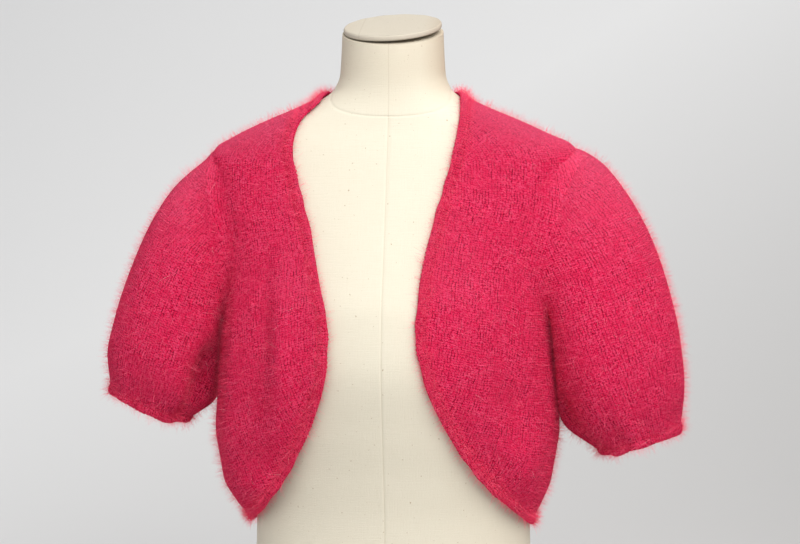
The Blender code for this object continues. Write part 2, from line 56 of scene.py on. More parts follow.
# Level sections of the dress form: half widths and depths in metres
form = {
    "columns": ("height", "side", "front", "back"),
    "sections": (
        (0.000, 0.1690, 0.1020, 0.1160),
        (0.050, 0.1680, 0.1030, 0.1180),
        (0.100, 0.1600, 0.1000, 0.1090),
        (0.150, 0.1460, 0.0930, 0.0950),
        (0.200, 0.1380, 0.0890, 0.0860),
        (0.225, 0.1378, 0.0905, 0.0850),
        (0.270, 0.1425, 0.0990, 0.0880),
        (0.320, 0.1500, 0.1130, 0.0945),
        (0.385, 0.1575, 0.1270, 0.1030),
        (0.430, 0.1615, 0.1220, 0.1080),
        (0.470, 0.1660, 0.1070, 0.1070),
        (0.510, 0.1740, 0.0900, 0.1010),
        (0.545, 0.1810, 0.0760, 0.0900),
        (0.575, 0.1790, 0.0650, 0.0790),
        (0.590, 0.1690, 0.0600, 0.0730),
        (0.600, 0.1560, 0.0565, 0.0690),
        (0.610, 0.1370, 0.0530, 0.0650),
        (0.620, 0.1145, 0.0505, 0.0615),
        (0.630, 0.0905, 0.0485, 0.0580),
        (0.640, 0.0710, 0.0470, 0.0555),
        (0.650, 0.0585, 0.0465, 0.0535),
        (0.665, 0.0525, 0.0475, 0.0515),
        (0.710, 0.0500, 0.0490, 0.0495),
    ),
    "neckTop": 0.706,
    "tiltStart": 0.655,
    "tilt": radians(15),
    "seamLevel": 0.650,
    "seamDip": 0.027,
    "seamDepth": 0.0007,
    "frontSeamDepth": 0.00045,
    "sideSeamDepth": 0.00025,
    "seamHalf": 0.0009,
    "baseRound": 0.004,
}
cap = {
    "radius": 0.0488,
    "thickness": 0.0056,
    "round": 0.0020,
    "roll": radians(2.6),
    "lift": 0.0003,
    "pucker": 0.00016,
    "topRow": 10,        # of the profile, from where it counts as its upper side
    "mapSpan": 0.22,
    # share of the radius, and rise above the rim
    "crown": (
        (0.97, 0.0), (0.93, 0.0), (0.86, 0.0001), (0.7, 0.0003), (0.5, 0.0005), (0.25, 0.0006),
    ),
}

# How far the knit's outside stands off the form, on each side
ease = {
    "columns": ("height", "left", "right", "front", "back"),
    "rows": (
        (0.205, 0.0044, 0.0040, 0.0040, 0.0040),
        (0.220, 0.0072, 0.0043, 0.0043, 0.0043),
        (0.238, 0.0200, 0.0110, 0.0060, 0.0080),
        (0.262, 0.0300, 0.0175, 0.0072, 0.0130),
        (0.300, 0.0310, 0.0190, 0.0080, 0.0170),
        (0.345, 0.0235, 0.0130, 0.0062, 0.0150),
        (0.400, 0.0150, 0.0062, 0.0042, 0.0090),
        (0.450, 0.0085, 0.0044, 0.0041, 0.0048),
        (0.520, 0.0042, 0.0040, 0.0040, 0.0040),
        (0.700, 0.0039, 0.0039, 0.0039, 0.0039),
    ),
    "shoulderLift": 0.0026,
    "liftStart": 0.53,
    "liftEnd": 0.60,
}

# Soft folds of the body: angle, height, half width, half length, rise, lean
bodyFolds = (
    (-62, 0.330, 7.0, 0.090, 0.0050, 40),
    (-40, 0.310, 6.0, 0.070, 0.0036, 25),
    (38, 0.300, 6.5, 0.080, 0.0042, -35),
    (60, 0.325, 7.5, 0.085, 0.0046, -45),
    (-118, 0.320, 8.0, 0.090, 0.0050, -30),
    (-148, 0.300, 7.0, 0.070, 0.0042, -12),
    (176, 0.310, 8.0, 0.080, 0.0036, 6),
    (142, 0.295, 7.0, 0.075, 0.0044, 15),
    (114, 0.325, 7.5, 0.085, 0.0048, 32),
)

# Finer creases, which the solids don't have: the same columns
bodyCreases = (
    (-35, 0.395, 4.2, 0.080, 0.0042, 8),
    (-44, 0.395, 3.8, 0.085, -0.0030, 6),
    (-60, 0.400, 5.0, 0.070, 0.0030, -6),
    (-52, 0.262, 9.0, 0.020, 0.0085, 30),
    (54, 0.282, 8.5, 0.026, 0.0100, -60),
    (50, 0.345, 10.0, 0.030, -0.0060, -50),
    (38, 0.288, 9.0, 0.045, -0.0075, -260),
    (-40, 0.288, 9.0, 0.045, -0.0090, 260),
    (30, 0.330, 5.0, 0.060, 0.0020, -40),
    (72, 0.345, 6.0, 0.050, 0.0030, -30),
    (-70, 0.400, 3.5, 0.050, 0.0016, 60),
    (-54, 0.372, 3.0, 0.042, 0.0012, 75),
    (-33, 0.352, 3.4, 0.050, 0.0013, -20),
    (-47, 0.275, 3.6, 0.030, 0.0014, 60),
    (70, 0.385, 3.6, 0.050, 0.0016, -70),
    (49, 0.345, 3.2, 0.050, 0.0013, -60),
    (33, 0.385, 3.0, 0.050, 0.0010, 25),
    (52, 0.268, 3.6, 0.030, 0.0014, -40),
    (-104, 0.395, 3.6, 0.060, 0.0016, -50),
    (-132, 0.350, 4.0, 0.050, 0.0015, 30),
    (-162, 0.275, 3.6, 0.036, 0.0013, 10),
    (160, 0.360, 4.2, 0.060, 0.0012, -16),
    (128, 0.350, 3.6, 0.050, 0.0015, 40),
    (102, 0.385, 3.6, 0.060, 0.0016, 50),
    (-172, 0.470, 6.0, 0.060, 0.0010, 0),
    (150, 0.520, 5.0, 0.040, 0.0008, 20),
    (-146, 0.525, 5.0, 0.040, 0.0008, -20),
)

# The finished edge of the fronts: its distance from the middle plane at each height
edge = {
    "columns": ("height", "left", "right"),
    "rows": (
        (0.220, 0.1390, 0.1385),
        (0.232, 0.1275, 0.1275),
        (0.248, 0.1132, 0.1125),
        (0.270, 0.0985, 0.0940),
        (0.300, 0.0815, 0.0735),
        (0.335, 0.0658, 0.0545),
        (0.375, 0.0530, 0.0400),
        (0.415, 0.0508, 0.0320),
        (0.460, 0.0600, 0.0350),
        (0.515, 0.0726, 0.0446),
        (0.560, 0.0862, 0.0566),
        (0.590, 0.0928, 0.0634),
        (0.612, 0.0905, 0.0663),
        (0.621, 0.0867, 0.0670),
        (0.630, 0.0800, 0.0675),
        (0.640, 0.0690, 0.0672),
    ),
    "hem": 0.2150,
    "hemBack": 0.2170,
    "neckSide": 0.6490,
    "neckBack": 0.6460,
    "neckRise": 0.0015,      # of the neck's edge half way between its side and middle back
    "halfWay": 0.7,          # that place and the hem's, as shares of a half turn
    "points": 1920,
    "softness": 0.016,       # length along which each corner is rounded
}

knit = {
    "wall": 0.0030,
    "wale": 0.0029,      # width of one stitch
    "row": 0.0024,       # height of one stitch
    "armpit": 0.415,
    "shoulder": 0.587,
    "frontReach": {"left": radians(22), "right": radians(31)},
    "backReach": radians(33),
    "fullness": 0.8,
    "uneven": 0.0005,    # slow rise and fall, as hand-knitted cloth has
    "rimOut": 0.0004,    # the lining's rim at the armhole: off the sleeve, and into the body
    "rimIn": 0.0022,
}

# Sleeves: the outermost and innermost point of each section, and half its depth
sleeves = {
    "columns": ("along", "outerX", "outerZ", "innerX", "innerZ", "halfDepth"),
    "left": (
        (0.00, 0.1720, 0.588, 0.1700, 0.415, 0.060),
        (0.12, 0.1945, 0.5725, 0.1700, 0.404, 0.068),
        (0.25, 0.2165, 0.553, 0.1700, 0.390, 0.075),
        (0.40, 0.2425, 0.515, 0.1700, 0.376, 0.079),
        (0.55, 0.2630, 0.470, 0.1710, 0.363, 0.080),
        (0.70, 0.2790, 0.423, 0.1740, 0.350, 0.077),
        (0.85, 0.2880, 0.385, 0.1830, 0.334, 0.068),
        (1.00, 0.2860, 0.357, 0.2030, 0.320, 0.055),
    ),
    "right": (
        (0.00, 0.1730, 0.588, 0.1660, 0.415, 0.060),
        (0.12, 0.2005, 0.579, 0.1620, 0.402, 0.069),
        (0.25, 0.2265, 0.553, 0.1600, 0.386, 0.077),
        (0.40, 0.2535, 0.508, 0.1590, 0.369, 0.082),
        (0.55, 0.2725, 0.457, 0.1580, 0.353, 0.083),
        (0.70, 0.2855, 0.406, 0.1600, 0.337, 0.080),
        (0.85, 0.2910, 0.357, 0.1720, 0.316, 0.071),
        (1.00, 0.2880, 0.323, 0.2030, 0.294, 0.056),
    ),
    "clearance": 0.0015,
    "clearanceSoft": 0.004,
    "uneven": 0.006,
    "wales": 158,
    "gathered": (-0.20, -0.12),    # the wales draw together below these, counted from the cuff
    "gatherShare": 0.4,
    "lean": {"left": radians(19), "right": radians(20)},
    "shift": {"left": 0, "right": 7},
}

# Soft troughs of the sleeves: phase, along, half width, half length, share of the half width
sleeveFolds = (
    (22, 1.00, 13, 0.20, 0.075),
    (60, 1.00, 12, 0.15, 0.055),
    (97, 1.00, 15, 0.24, 0.085),
    (138, 1.00, 12, 0.15, 0.050),
    (181, 1.00, 13, 0.18, 0.060),
    (222, 1.00, 12, 0.16, 0.055),
    (262, 1.00, 15, 0.24, 0.085),
    (301, 1.00, 12, 0.16, 0.060),
    (338, 1.00, 13, 0.20, 0.070),
    (36, 0.74, 17, 0.22, 0.070),
    (118, 0.50, 16, 0.20, 0.035),
    (322, 0.70, 17, 0.24, 0.060),
    (232, 0.48, 17, 0.22, 0.040),
)
sleeveCreases = {
    "left": (
        (29, 0.66, 18, 0.28, 0.420),
        (56, 0.90, 9, 0.18, -0.040),
        (56, 0.62, 8, 0.12, 0.022),
        (78, 0.92, 6, 0.14, 0.018),
        (112, 0.90, 6, 0.12, 0.016),
        (152, 0.94, 6, 0.10, 0.016),
        (206, 0.90, 6, 0.12, 0.018),
        (246, 0.92, 7, 0.13, 0.018),
        (285, 0.92, 6, 0.12, 0.018),
        (330, 0.66, 9, 0.16, 0.024),
    ),
    "right": (
        (18, 0.84, 10, 0.24, 0.120),
        (66, 0.82, 7, 0.16, 0.018),
        (78, 0.62, 9, 0.10, 0.016),
        (90, 0.90, 6, 0.12, 0.018),
        (128, 0.92, 6, 0.14, 0.020),
        (160, 0.80, 7, 0.16, 0.018),
        (212, 0.92, 6, 0.12, 0.016),
        (250, 0.88, 7, 0.15, 0.018),
        (290, 0.92, 6, 0.12, 0.018),
        (326, 0.72, 9, 0.18, 0.024),
    ),
}


def column(table, columns, name):
    return np.array([row[columns.index(name)] for row in table], float)


def smooth(at, knots, values):
    # a monotone cubic through the knots, level beyond its ends
    at = np.clip(at, knots[0], knots[-1])
    steps = np.diff(knots)
    slopes = np.diff(values) / steps
    sameWay = slopes[:-1] * slopes[1:] > 0
    safe = np.where(sameWay, slopes[:-1] + slopes[1:], 1)
    middle = np.where(sameWay, 2 * slopes[:-1] * slopes[1:] / safe, 0)
    tangents = np.concatenate([slopes[:1], middle, slopes[-1:]])
    place = np.clip(np.searchsorted(knots, at, side="right") - 1, 0, len(steps) - 1)
    part = (at - knots[place]) / steps[place]
    rest = 1 - part
    bend = tangents[place] * rest - tangents[place + 1] * part
    return (
        values[place] * rest**2 * (1 + 2 * part)
        + values[place + 1] * part**2 * (3 - 2 * part)
        + steps[place] * part * rest * bend
    )


def read(table, columns, name, at):
    return smooth(at, column(table, columns, columns[0]), column(table, columns, name))


def ramp(at, start, end):
    part = np.clip((at - start) / (end - start), 0, 1)
    return part * part * (3 - 2 * part)


def formPoints(angle, height):
    side = read(form["sections"], form["columns"], "side", height)
    front = read(form["sections"], form["columns"], "front", height)
    back = read(form["sections"], form["columns"], "back", height)
    depth = np.where(np.cos(angle) > 0, front, back)
    return side * np.sin(angle), -depth * np.cos(angle)


def foldRise(angle, height):
    rise = np.zeros(np.broadcast(angle, height).shape)
    for turn, level, halfWidth, halfLength, high, lean in bodyFolds + bodyCreases:
        middle = radians(turn) + radians(lean) * (height - level)
        apart = (angle - middle + pi) % (2 * pi) - pi
        across = apart / radians(halfWidth)
        along = (height - level) / halfLength
        rise = rise + high * np.exp(-across**2 - along**2)
    uneven = np.sin(7 * angle + 31 * height + 0.6) * np.sin(23 * height - 3 * angle + 1.9)
    return rise + knit["uneven"] * uneven * ramp(height, 0.22, 0.26)


def bodyPoints(angle, height):
    angle, height = np.broadcast_arrays(np.asarray(angle, float), np.asarray(height, float))
    beside = read(ease["rows"], ease["columns"], "right", height)
    left = read(ease["rows"], ease["columns"], "left", height)
    beside = np.where(np.sin(angle) < 0, left, beside)
    front = read(ease["rows"], ease["columns"], "front", height)
    back = read(ease["rows"], ease["columns"], "back", height)
    facing = np.where(np.cos(angle) > 0, front, back)
    off = beside * np.sin(angle) ** 2 + facing * np.cos(angle) ** 2 + foldRise(angle, height)
    lifted = height - ease["shoulderLift"] * ramp(height, ease["liftStart"], ease["liftEnd"])
    x, y = formPoints(angle, lifted)
    return np.stack([x + off * np.sin(angle), y - off * np.cos(angle), height], axis=-1)


def bodySlopes(angle, height):
    turn, rise = 1e-4, 1e-5
    byAngle = (bodyPoints(angle + turn, height) - bodyPoints(angle - turn, height)) / (2 * turn)
    byHeight = (bodyPoints(angle, height + rise) - bodyPoints(angle, height - rise)) / (2 * rise)
    return byAngle, byHeight


def unit(vectors):
    return vectors / np.linalg.norm(vectors, axis=-1, keepdims=True)


def closed(points, axis=0):
    # the same points, with the first ones again at the end
    return np.concatenate([points, np.take(points, [0], axis=axis)], axis=axis)


def alongLine(places, run, line):
    # points of an angle-and-height line at these distances along it
    return np.stack([np.interp(places, run, line[:, axis]) for axis in range(2)], axis=-1)


def gridQuads(rows, columns):
    # row and column numbers of the corners of every face in a grid
    r, c = np.meshgrid(np.arange(rows), np.arange(columns), indexing="ij")
    corners = ((r, r, r + 1, r + 1), (c, c + 1, c + 1, c))
    return [np.stack(ids, axis=-1).reshape(-1, 4) for ids in corners]


def bodyNormals(angle, height):
    byAngle, byHeight = bodySlopes(angle, height)
    return unit(np.cross(byAngle, byHeight))


def edgeAngle(sign, height, aside):
    turns = np.linspace(0, pi / 2, 91)
    reach = np.abs(bodyPoints(sign * turns[:, None], height[None, :])[..., 0])
    return sign * np.array([np.interp(x, across, turns) for x, across in zip(aside, reach.T)])


def edgeLine():
    # the finished edge once round: back hem, left front, back of the neck, right front
    height = np.linspace(edge["rows"][0][0], edge["rows"][-1][0], 43)
    left, right = (
        edgeAngle(sign, height, read(edge["rows"], edge["columns"], name, height))
        for name, sign in sideSigns.items()
    )
    leftTurn, rightTurn = -pi * edge["halfWay"], -pi * (2 - edge["halfWay"])
    neckHalf = edge["neckBack"] + edge["neckRise"]
    line = [(-pi, edge["hemBack"]), (leftTurn, edge["hemBack"]), (-pi / 2, edge["hem"])]
    line += list(zip(left, height))
    line += [(-pi / 2, edge["neckSide"]), (leftTurn, neckHalf), (-pi, edge["neckBack"])]
    line += [(rightTurn, neckHalf), (-pi * 1.5, edge["neckSide"])]
    line += list(zip(right[::-1] - 2 * pi, height[::-1]))
    line += [(-pi * 1.5, edge["hem"]), (rightTurn, edge["hemBack"])]
    corners = np.array(line)
    following = np.roll(corners, -1, axis=0)
    parts = np.linspace(0, 1, 24, endpoint=False)[None, :, None]
    fine = (corners[:, None] * (1 - parts) + following[:, None] * parts).reshape(-1, 2)
    fine = closed(fine)
    run = lengthAlong(bodyPoints(fine[:, 0], fine[:, 1]))
    even = np.linspace(0, run[-1], edge["points"], endpoint=False)
    line = alongLine(even, run, fine)
    reach = round(edge["softness"] / run[-1] * edge["points"])
    weights = np.hanning(2 * reach + 3)[1:-1]
    eased = sum(w * np.roll(line, k, axis=0) for w, k in zip(weights, range(-reach, reach + 1)))
    return eased / weights.sum()


def lengthAlong(points):
    return np.concatenate([[0], np.cumsum(np.linalg.norm(np.diff(points, axis=0), axis=1))])


def inset(line, distance):
    # the same closed line moved into the garment, along its surface
    ahead = np.roll(line, -1, axis=0) - np.roll(line, 1, axis=0)
    byAngle, byHeight = bodySlopes(line[:, 0], line[:, 1])
    tangent = byAngle * ahead[:, :1] + byHeight * ahead[:, 1:]
    inward = unit(np.cross(bodyNormals(line[:, 0], line[:, 1]), tangent))
    inward = inward * np.reshape(distance, (-1, 1))
    slopes = np.stack([byAngle, byHeight], axis=2)
    return line + np.einsum("nij,nj->ni", np.linalg.pinv(slopes), inward)


band = {
    "width": 0.011,
    "overlap": 0.0004,        # how far the band's inner side tucks under the panels
    "stations": 760,
    "scallop": 0.00085,
    "scallopLength": 0.0046,
    "scallopReach": 0.004,    # how far into the band the scallops fade out
    "lift": 0.00050,
    "liftMiddle": 0.005,      # where across the band its stitches stand highest
    "liftHalf": 0.004,
    "stitch": 0.0026,
    "thickness": 5.0,
    "shown": 10,
    # how far each point of the section lies inside the edge, and stands off the body
    "profile": (
        (0.0000, -0.0012), (0.0004, -0.0003), (0.0012, 0.0004), (0.0026, 0.0009),
        (0.0046, 0.0011), (0.0066, 0.0009), (0.0084, 0.0006), (0.0098, 0.0002),
        (0.0108, -0.0004), (0.0113, -0.0013), (0.0112, -0.0030), (0.0056, -0.0031),
        (0.0012, -0.0028), (0.0002, -0.0021),
    ),
}
mainLine = edgeLine()
panelLine = inset(mainLine, band["width"] - band["overlap"])


def frontLine(name):
    if name == "left":
        return panelLine[panelLine[:, 0] > -pi / 2]
    return panelLine[panelLine[:, 0] < -pi * 1.5][::-1] + (2 * pi, 0)


# Rows of the panels: below the armhole, beside it and above it
rowCounts = {"below": 34, "arch": 80, "above": 16}


def archHeight(phase):
    # heights along the armhole, from the armpit up to the shoulder
    middle, half = (knit["armpit"] + knit["shoulder"]) / 2, (knit["shoulder"] - knit["armpit"]) / 2
    return middle - half * np.cos(phase)


def sideLine(name, reach, away):
    sign = sideSigns[name]
    line = frontLine(name)
    low, high = line[0, 1], line[-1, 1]
    crowded = np.linspace(0, 1, rowCounts["below"], endpoint=False) ** 1.15
    below = low + (knit["armpit"] - low) * crowded
    phase = np.linspace(0, pi, rowCounts["arch"] + 1)
    above = np.linspace(knit["shoulder"], high, rowCounts["above"] + 1)[1:]
    height = np.concatenate([below, archHeight(phase), above])
    bow = np.clip(np.sin(phase), 0, 1) ** knit["fullness"]
    swing = np.concatenate([below * 0, reach * bow, above * 0])
    return sign * (pi / 2 + away * swing), height


def frontGrid(name, columns=56, hemRow=0.075, neckRow=0.014):
    sideAngle, sideHeight = sideLine(name, knit["frontReach"][name], -1)
    line = frontLine(name)
    run = lengthAlong(bodyPoints(line[:, 0], line[:, 1]))
    last = run[-1] - neckRow
    # rows are spread by the side line's own length, so that they stay apart at the armpit
    share = lengthAlong(bodyPoints(sideAngle, sideHeight))
    share = share / share[-1]
    start, end = alongLine(np.array([hemRow, last]), run, line)[:, 1]
    within = (run >= hemRow) & (run <= last)
    along = np.interp(start + share * (end - start), line[within, 1], run[within])
    along[0], along[-1] = hemRow, last
    across = np.linspace(0, 1, columns + 1)
    low = alongLine(hemRow * (1 - across), run, line)
    high = alongLine(run[-1] - neckRow * (1 - across), run, line)
    innerEnds = alongLine(along, run, line)[:, None]
    outerEnds = np.stack([sideAngle, sideHeight], axis=1)[:, None]
    low[-1], high[-1] = outerEnds[0, 0], outerEnds[-1, 0]
    across, up = across[None, :, None], share[:, None, None]
    grid = (1 - across) * innerEnds + across * outerEnds
    lowOff, highOff = low - grid[0], high - grid[-1]
    grid += (1 - up) ** 4 * lowOff + up**8 * highOff
    return grid[..., 0], grid[..., 1]


def backGrid(columns=112):
    rightAngle, rightHeight = sideLine("right", knit["backReach"], 1)
    leftAngle, leftHeight = sideLine("left", knit["backReach"], 1)
    leftAngle = leftAngle + 2 * pi
    turned = panelLine[:, 0] + 2 * pi
    behind = (turned > pi * 0.45) & (turned < pi * 1.55)
    across = np.linspace(0, 1, columns + 1)[None, :]
    angle = (1 - across) * rightAngle[:, None] + across * leftAngle[:, None]
    height = (1 - across) * rightHeight[:, None] + across * leftHeight[:, None]
    share = lengthAlong(bodyPoints(rightAngle, rightHeight))
    share = share / share[-1]
    even = height[:1] + share[:, None] * (height[-1:] - height[:1])
    height = height + (1 - np.abs(2 * across - 1) ** 3) * (even - height)
    hem = behind & (panelLine[:, 1] < knit["armpit"])
    neck = behind & (panelLine[:, 1] > knit["armpit"])
    for row, part, weight in ((0, hem, (1 - share) ** 4), (-1, neck, share**6)):
        order = np.argsort(turned[part])
        wanted = np.interp(angle[row], turned[part][order], panelLine[part, 1][order])
        height = height + weight[:, None] * (wanted - height[row])[None, :]
    return angle, height


def stitchCount(angle, height, middle, lean):
    # stitches across and rows up, counted on the body's surface from the angle "middle"
    parts = np.linspace(0, 1, 25)[:, None, None]
    line = bodyPoints(middle + (angle - middle) * parts, height[None] + 0 * parts)
    across = np.sum(np.linalg.norm(np.diff(line, axis=0), axis=-1), axis=0) * np.sign(angle - middle)
    line = bodyPoints(angle[None] + 0 * parts, 0.2 + (height - 0.2) * parts)
    up = np.sum(np.linalg.norm(np.diff(line, axis=0), axis=-1), axis=0)
    across, up = across * cos(lean) + up * sin(lean), up * cos(lean) - across * sin(lean)
    return np.stack([across / knit["wale"], up / knit["row"]], axis=-1)


# The flat map for baking: both skins side by side, above a narrow strip for each rim
bakeMap = {
    "skinWide": 0.47,
    "skinHigh": 0.90,
    "skinLow": 0.08,
    "outerLeft": 0.01,
    "innerLeft": 0.51,
    "rimLong": 0.97,
    "rimLeft": 0.01,
    "rimLow": 0.004,
    "rimStep": 0.018,
    "rimWide": 0.012,
}


def meshFromGrids(name, outer, inner, counts, wrap):
    # a closed wall between two grids, with its stitch count and its place on the baking map
    rows, columns = outer.shape[:2]
    spans = columns if wrap else columns - 1
    quadRows, quadCols = gridQuads(rows - 1, spans)
    skin = quadRows * columns + quadCols % columns
    points = np.concatenate([outer.reshape(-1, 3), inner.reshape(-1, 3)])
    offset = rows * columns
    faces = [skin, skin[:, ::-1] + offset]
    uvRows, uvCols = [quadRows, quadRows[:, ::-1]], [quadCols, quadCols[:, ::-1]]
    wide, high = bakeMap["skinWide"] * (quadCols / spans), bakeMap["skinHigh"] * (quadRows / rows)
    bakeU = [wide + bakeMap["outerLeft"], wide[:, ::-1] + bakeMap["innerLeft"]]
    bakeV = [high + bakeMap["skinLow"], high[:, ::-1] + bakeMap["skinLow"]]
    rims = [(0, np.arange(spans), 0), (rows - 1, np.arange(spans), 1)]
    if not wrap:
        rims += [(np.arange(rows - 1), 0, 2), (np.arange(rows - 1), columns - 1, 3)]
    for a, b, kind in rims:
        a, b = np.broadcast_arrays(a, b)
        nextA, nextB = (a, b + 1) if kind < 2 else (a + 1, b)
        here, there = a * columns + b % columns, nextA * columns + nextB % columns
        rim = np.stack([here, there, there + offset, here + offset], axis=-1)
        rimRows, rimCols = np.stack([a, nextA, nextA, a], -1), np.stack([b, nextB, nextB, b], -1)
        count = len(here)
        place = np.arange(count) / count * bakeMap["rimLong"] + bakeMap["rimLeft"]
        after = place + bakeMap["rimLong"] / count
        along = np.stack([place, after, after, place], -1)
        low = bakeMap["rimLow"] + bakeMap["rimStep"] * kind
        top = low + bakeMap["rimWide"]
        updown = np.tile([low, low, top, top], (count, 1))
        if kind in (0, 3):
            rim, rimRows, rimCols = rim[:, ::-1], rimRows[:, ::-1], rimCols[:, ::-1]
            along, updown = along[:, ::-1], updown[:, ::-1]
        faces.append(rim)
        uvRows.append(rimRows)
        uvCols.append(rimCols)
        bakeU.append(along)
        bakeV.append(updown)
    faces = np.concatenate(faces)
    uvRows, uvCols = np.concatenate(uvRows), np.concatenate(uvCols)
    bake = np.stack([np.concatenate(bakeU), np.concatenate(bakeV)], axis=-1)
    knitMap = counts[uvRows, uvCols]
    flipped = insideOut(points, faces)
    if flipped:
        faces, knitMap, bake = faces[:, ::-1], knitMap[:, ::-1], bake[:, ::-1]
    return makeMesh(name, points, faces, {"OFBake": bake, "knit": knitMap}), flipped


def insideOut(points, faces):
    triangles = np.concatenate([faces[:, [0, 1, 2]], faces[:, [0, 2, 3]]])
    return np.linalg.det(points[triangles] - points.mean(axis=0)).sum() < 0


def makeMesh(name, points, faces, maps, sharp=60):
    mesh = bpy.data.meshes.new(name)
    mesh.from_pydata(np.asarray(points).tolist(), [], [list(face) for face in faces])
    for mapName, values in maps.items():
        layer = mesh.uv_layers.new(name=mapName)
        layer.data.foreach_set("uv", np.ascontiguousarray(values, np.float32).ravel())
    mesh.shade_smooth()
    mesh.set_sharp_from_angle(angle=radians(sharp))
    return mesh


def addPiece(name, mesh, finish, slot=None, node=None):
    piece = bpy.data.objects.new(name, mesh)
    bpy.context.scene.collection.objects.link(piece)
    if not mesh.materials:
        mesh.materials.append(finish)
    if slot:
        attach(piece, "root")
        if node:
            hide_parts(node)
    return piece


def pushOut(points):
    # sleeve points that lie in the body go just outside it
    x, y, z = np.moveaxis(points, -1, 0)
    heading = np.arctan2(x, -y)
    angle = heading
    for _ in range(6):
        skin = bodyPoints(angle, z)
        angle = angle + heading - np.arctan2(skin[..., 0], -skin[..., 1])
    here = np.hypot(x, y)
    short = np.hypot(skin[..., 0], skin[..., 1]) + sleeves["clearance"] - here
    soft = sleeves["clearanceSoft"]
    eased = np.where(short > -soft, (short + soft) ** 2 / (4 * soft), 0)
    lift = np.where(short > soft, short, eased)
    scale = (here + lift) / here
    return np.stack([x * scale, y * scale, z], axis=-1)


def sleeveRing(name, along, phase):
    sign = sideSigns[name]
    columns = sleeves["columns"]
    values = {key: read(sleeves[name], columns, key, along) for key in columns[1:]}
    inner = np.array([values["innerX"], 0, values["innerZ"]])
    outer = np.array([values["outerX"], 0, values["outerZ"]])
    share = np.zeros(len(phase))
    for turn, level, halfWidth, halfLength, deep in sleeveFolds + sleeveCreases[name]:
        apart = np.degrees(phase) - turn - sleeves["shift"][name]
        across = ((apart + 180) % 360 - 180) / halfWidth
        share = share + deep * np.exp(-across**2 - ((along - level) / halfLength) ** 2)
    share = share + sleeves["uneven"] * np.sin(5 * phase + 9 * along + sign) * np.sin(8 * along)
    middle, half = (inner + outer) / 2, (outer - inner) / 2
    points = middle - (np.cos(phase) * (1 - share))[:, None] * half
    bow = np.sign(np.sin(phase)) * np.abs(np.sin(phase)) ** knit["fullness"]
    points[:, 1] = -bow * (1 - share) * values["halfDepth"]
    points[:, 0] *= sign
    return points


def sleeveWall(name, rings=64, steps=rowCounts["arch"]):
    sign = sideSigns[name]
    phase = np.linspace(0, 2 * pi, 2 * steps, endpoint=False)
    reach = np.where(phase < pi, -knit["frontReach"][name], knit["backReach"])
    angle = sign * (pi / 2 + reach * np.abs(np.sin(phase)) ** knit["fullness"])
    height = archHeight(phase)
    rim = bodyPoints(angle, height)
    places = np.linspace(0, 1, rings + 1)[1:]
    points = np.stack([sleeveRing(name, along, phase) for along in places])
    settle = (1 - places[:, None, None]) ** 3
    points = pushOut(points + settle * (rim - sleeveRing(name, 0, phase)))
    return np.concatenate([rim[None], points]), bodyNormals(angle, height)


def sleeveStitches(name, outer):
    # wales run straight along the sleeve, and draw together where it is gathered
    lean = sleeves["lean"][name] * sideSigns[name]
    axis = np.array([sin(lean), 0, -cos(lean)])
    aside = np.array([cos(lean), 0, sin(lean)]) * sideSigns[name]
    whole = closed(outer, 1)
    fromCuff = whole - outer[-1].mean(axis=0)
    along = fromCuff @ axis
    sideways, forward = fromCuff @ aside, -fromCuff[..., 1]
    reach = np.hypot(sideways, forward)
    turn = np.unwrap(np.arctan2(forward, sideways), axis=1)
    turn -= turn[:, whole.shape[1] // 2][:, None]
    full = ramp(along, *sleeves["gathered"])
    even = sleeves["wales"] * knit["wale"] / (2 * pi)
    drawn = (1 - full) * sleeves["gatherShare"] * (reach - even)
    u = turn * (even + drawn) / knit["wale"]
    rise = np.hypot(np.diff(along, axis=0), np.diff(reach, axis=0))
    v = np.concatenate([np.zeros((1, whole.shape[1])), -np.cumsum(rise, axis=0)])
    return np.stack([u, (v - v[-1:]) / knit["row"]], axis=-1)


def sleeveLining(outer, rimNormals):
    around = np.roll(outer, -1, axis=1) - np.roll(outer, 1, axis=1)
    normals = unit(np.cross(np.gradient(outer, axis=0), around))
    centre = outer.mean(axis=1, keepdims=True)
    normals *= np.sign(np.sum(normals * (outer - centre), axis=(1, 2)))[:, None, None]
    inner = outer - knit["wall"] * normals
    # the lining's rim keeps just outside the body
    inner[0] = outer[0] + knit["rimOut"] * normals[0] - knit["rimIn"] * rimNormals
    return inner


# The sleeves' tops run softly into the body, fully at the shoulder and little under the arm
join = {
    "columns": 18,
    "rings": 10,
    "rounds": 130,
    "start": 0.9,        # turn round the armhole, from under the arm, where it grows
    "end": 2.1,
    "fadeIn": 0.35,
    "fadeOut": (2.8, 3.14),
    "least": {"left": 0.06, "right": 0.20},
    "most": 0.8,
}

# Soft fillings of hollows at the shoulders' ends: middle, direction, amount, reach
fillings = (
    ((-0.1760, 0.0, 0.5900), (-0.60, 0.0, 0.80), 0.0030, (0.012, 0.050, 0.012)),
    ((0.1820, 0.0, 0.5910), (0.50, 0.0, 0.87), 0.0062, (0.020, 0.050, 0.018)),
)


def fillHollows(points):
    moved = points.copy()
    for middle, direction, amount, reach in fillings:
        apart = (points - np.array(middle)) / np.array(reach)
        share = np.exp(-np.sum(apart**2, axis=-1))[..., None]
        moved += share * amount * unit(np.array(direction))
    return moved


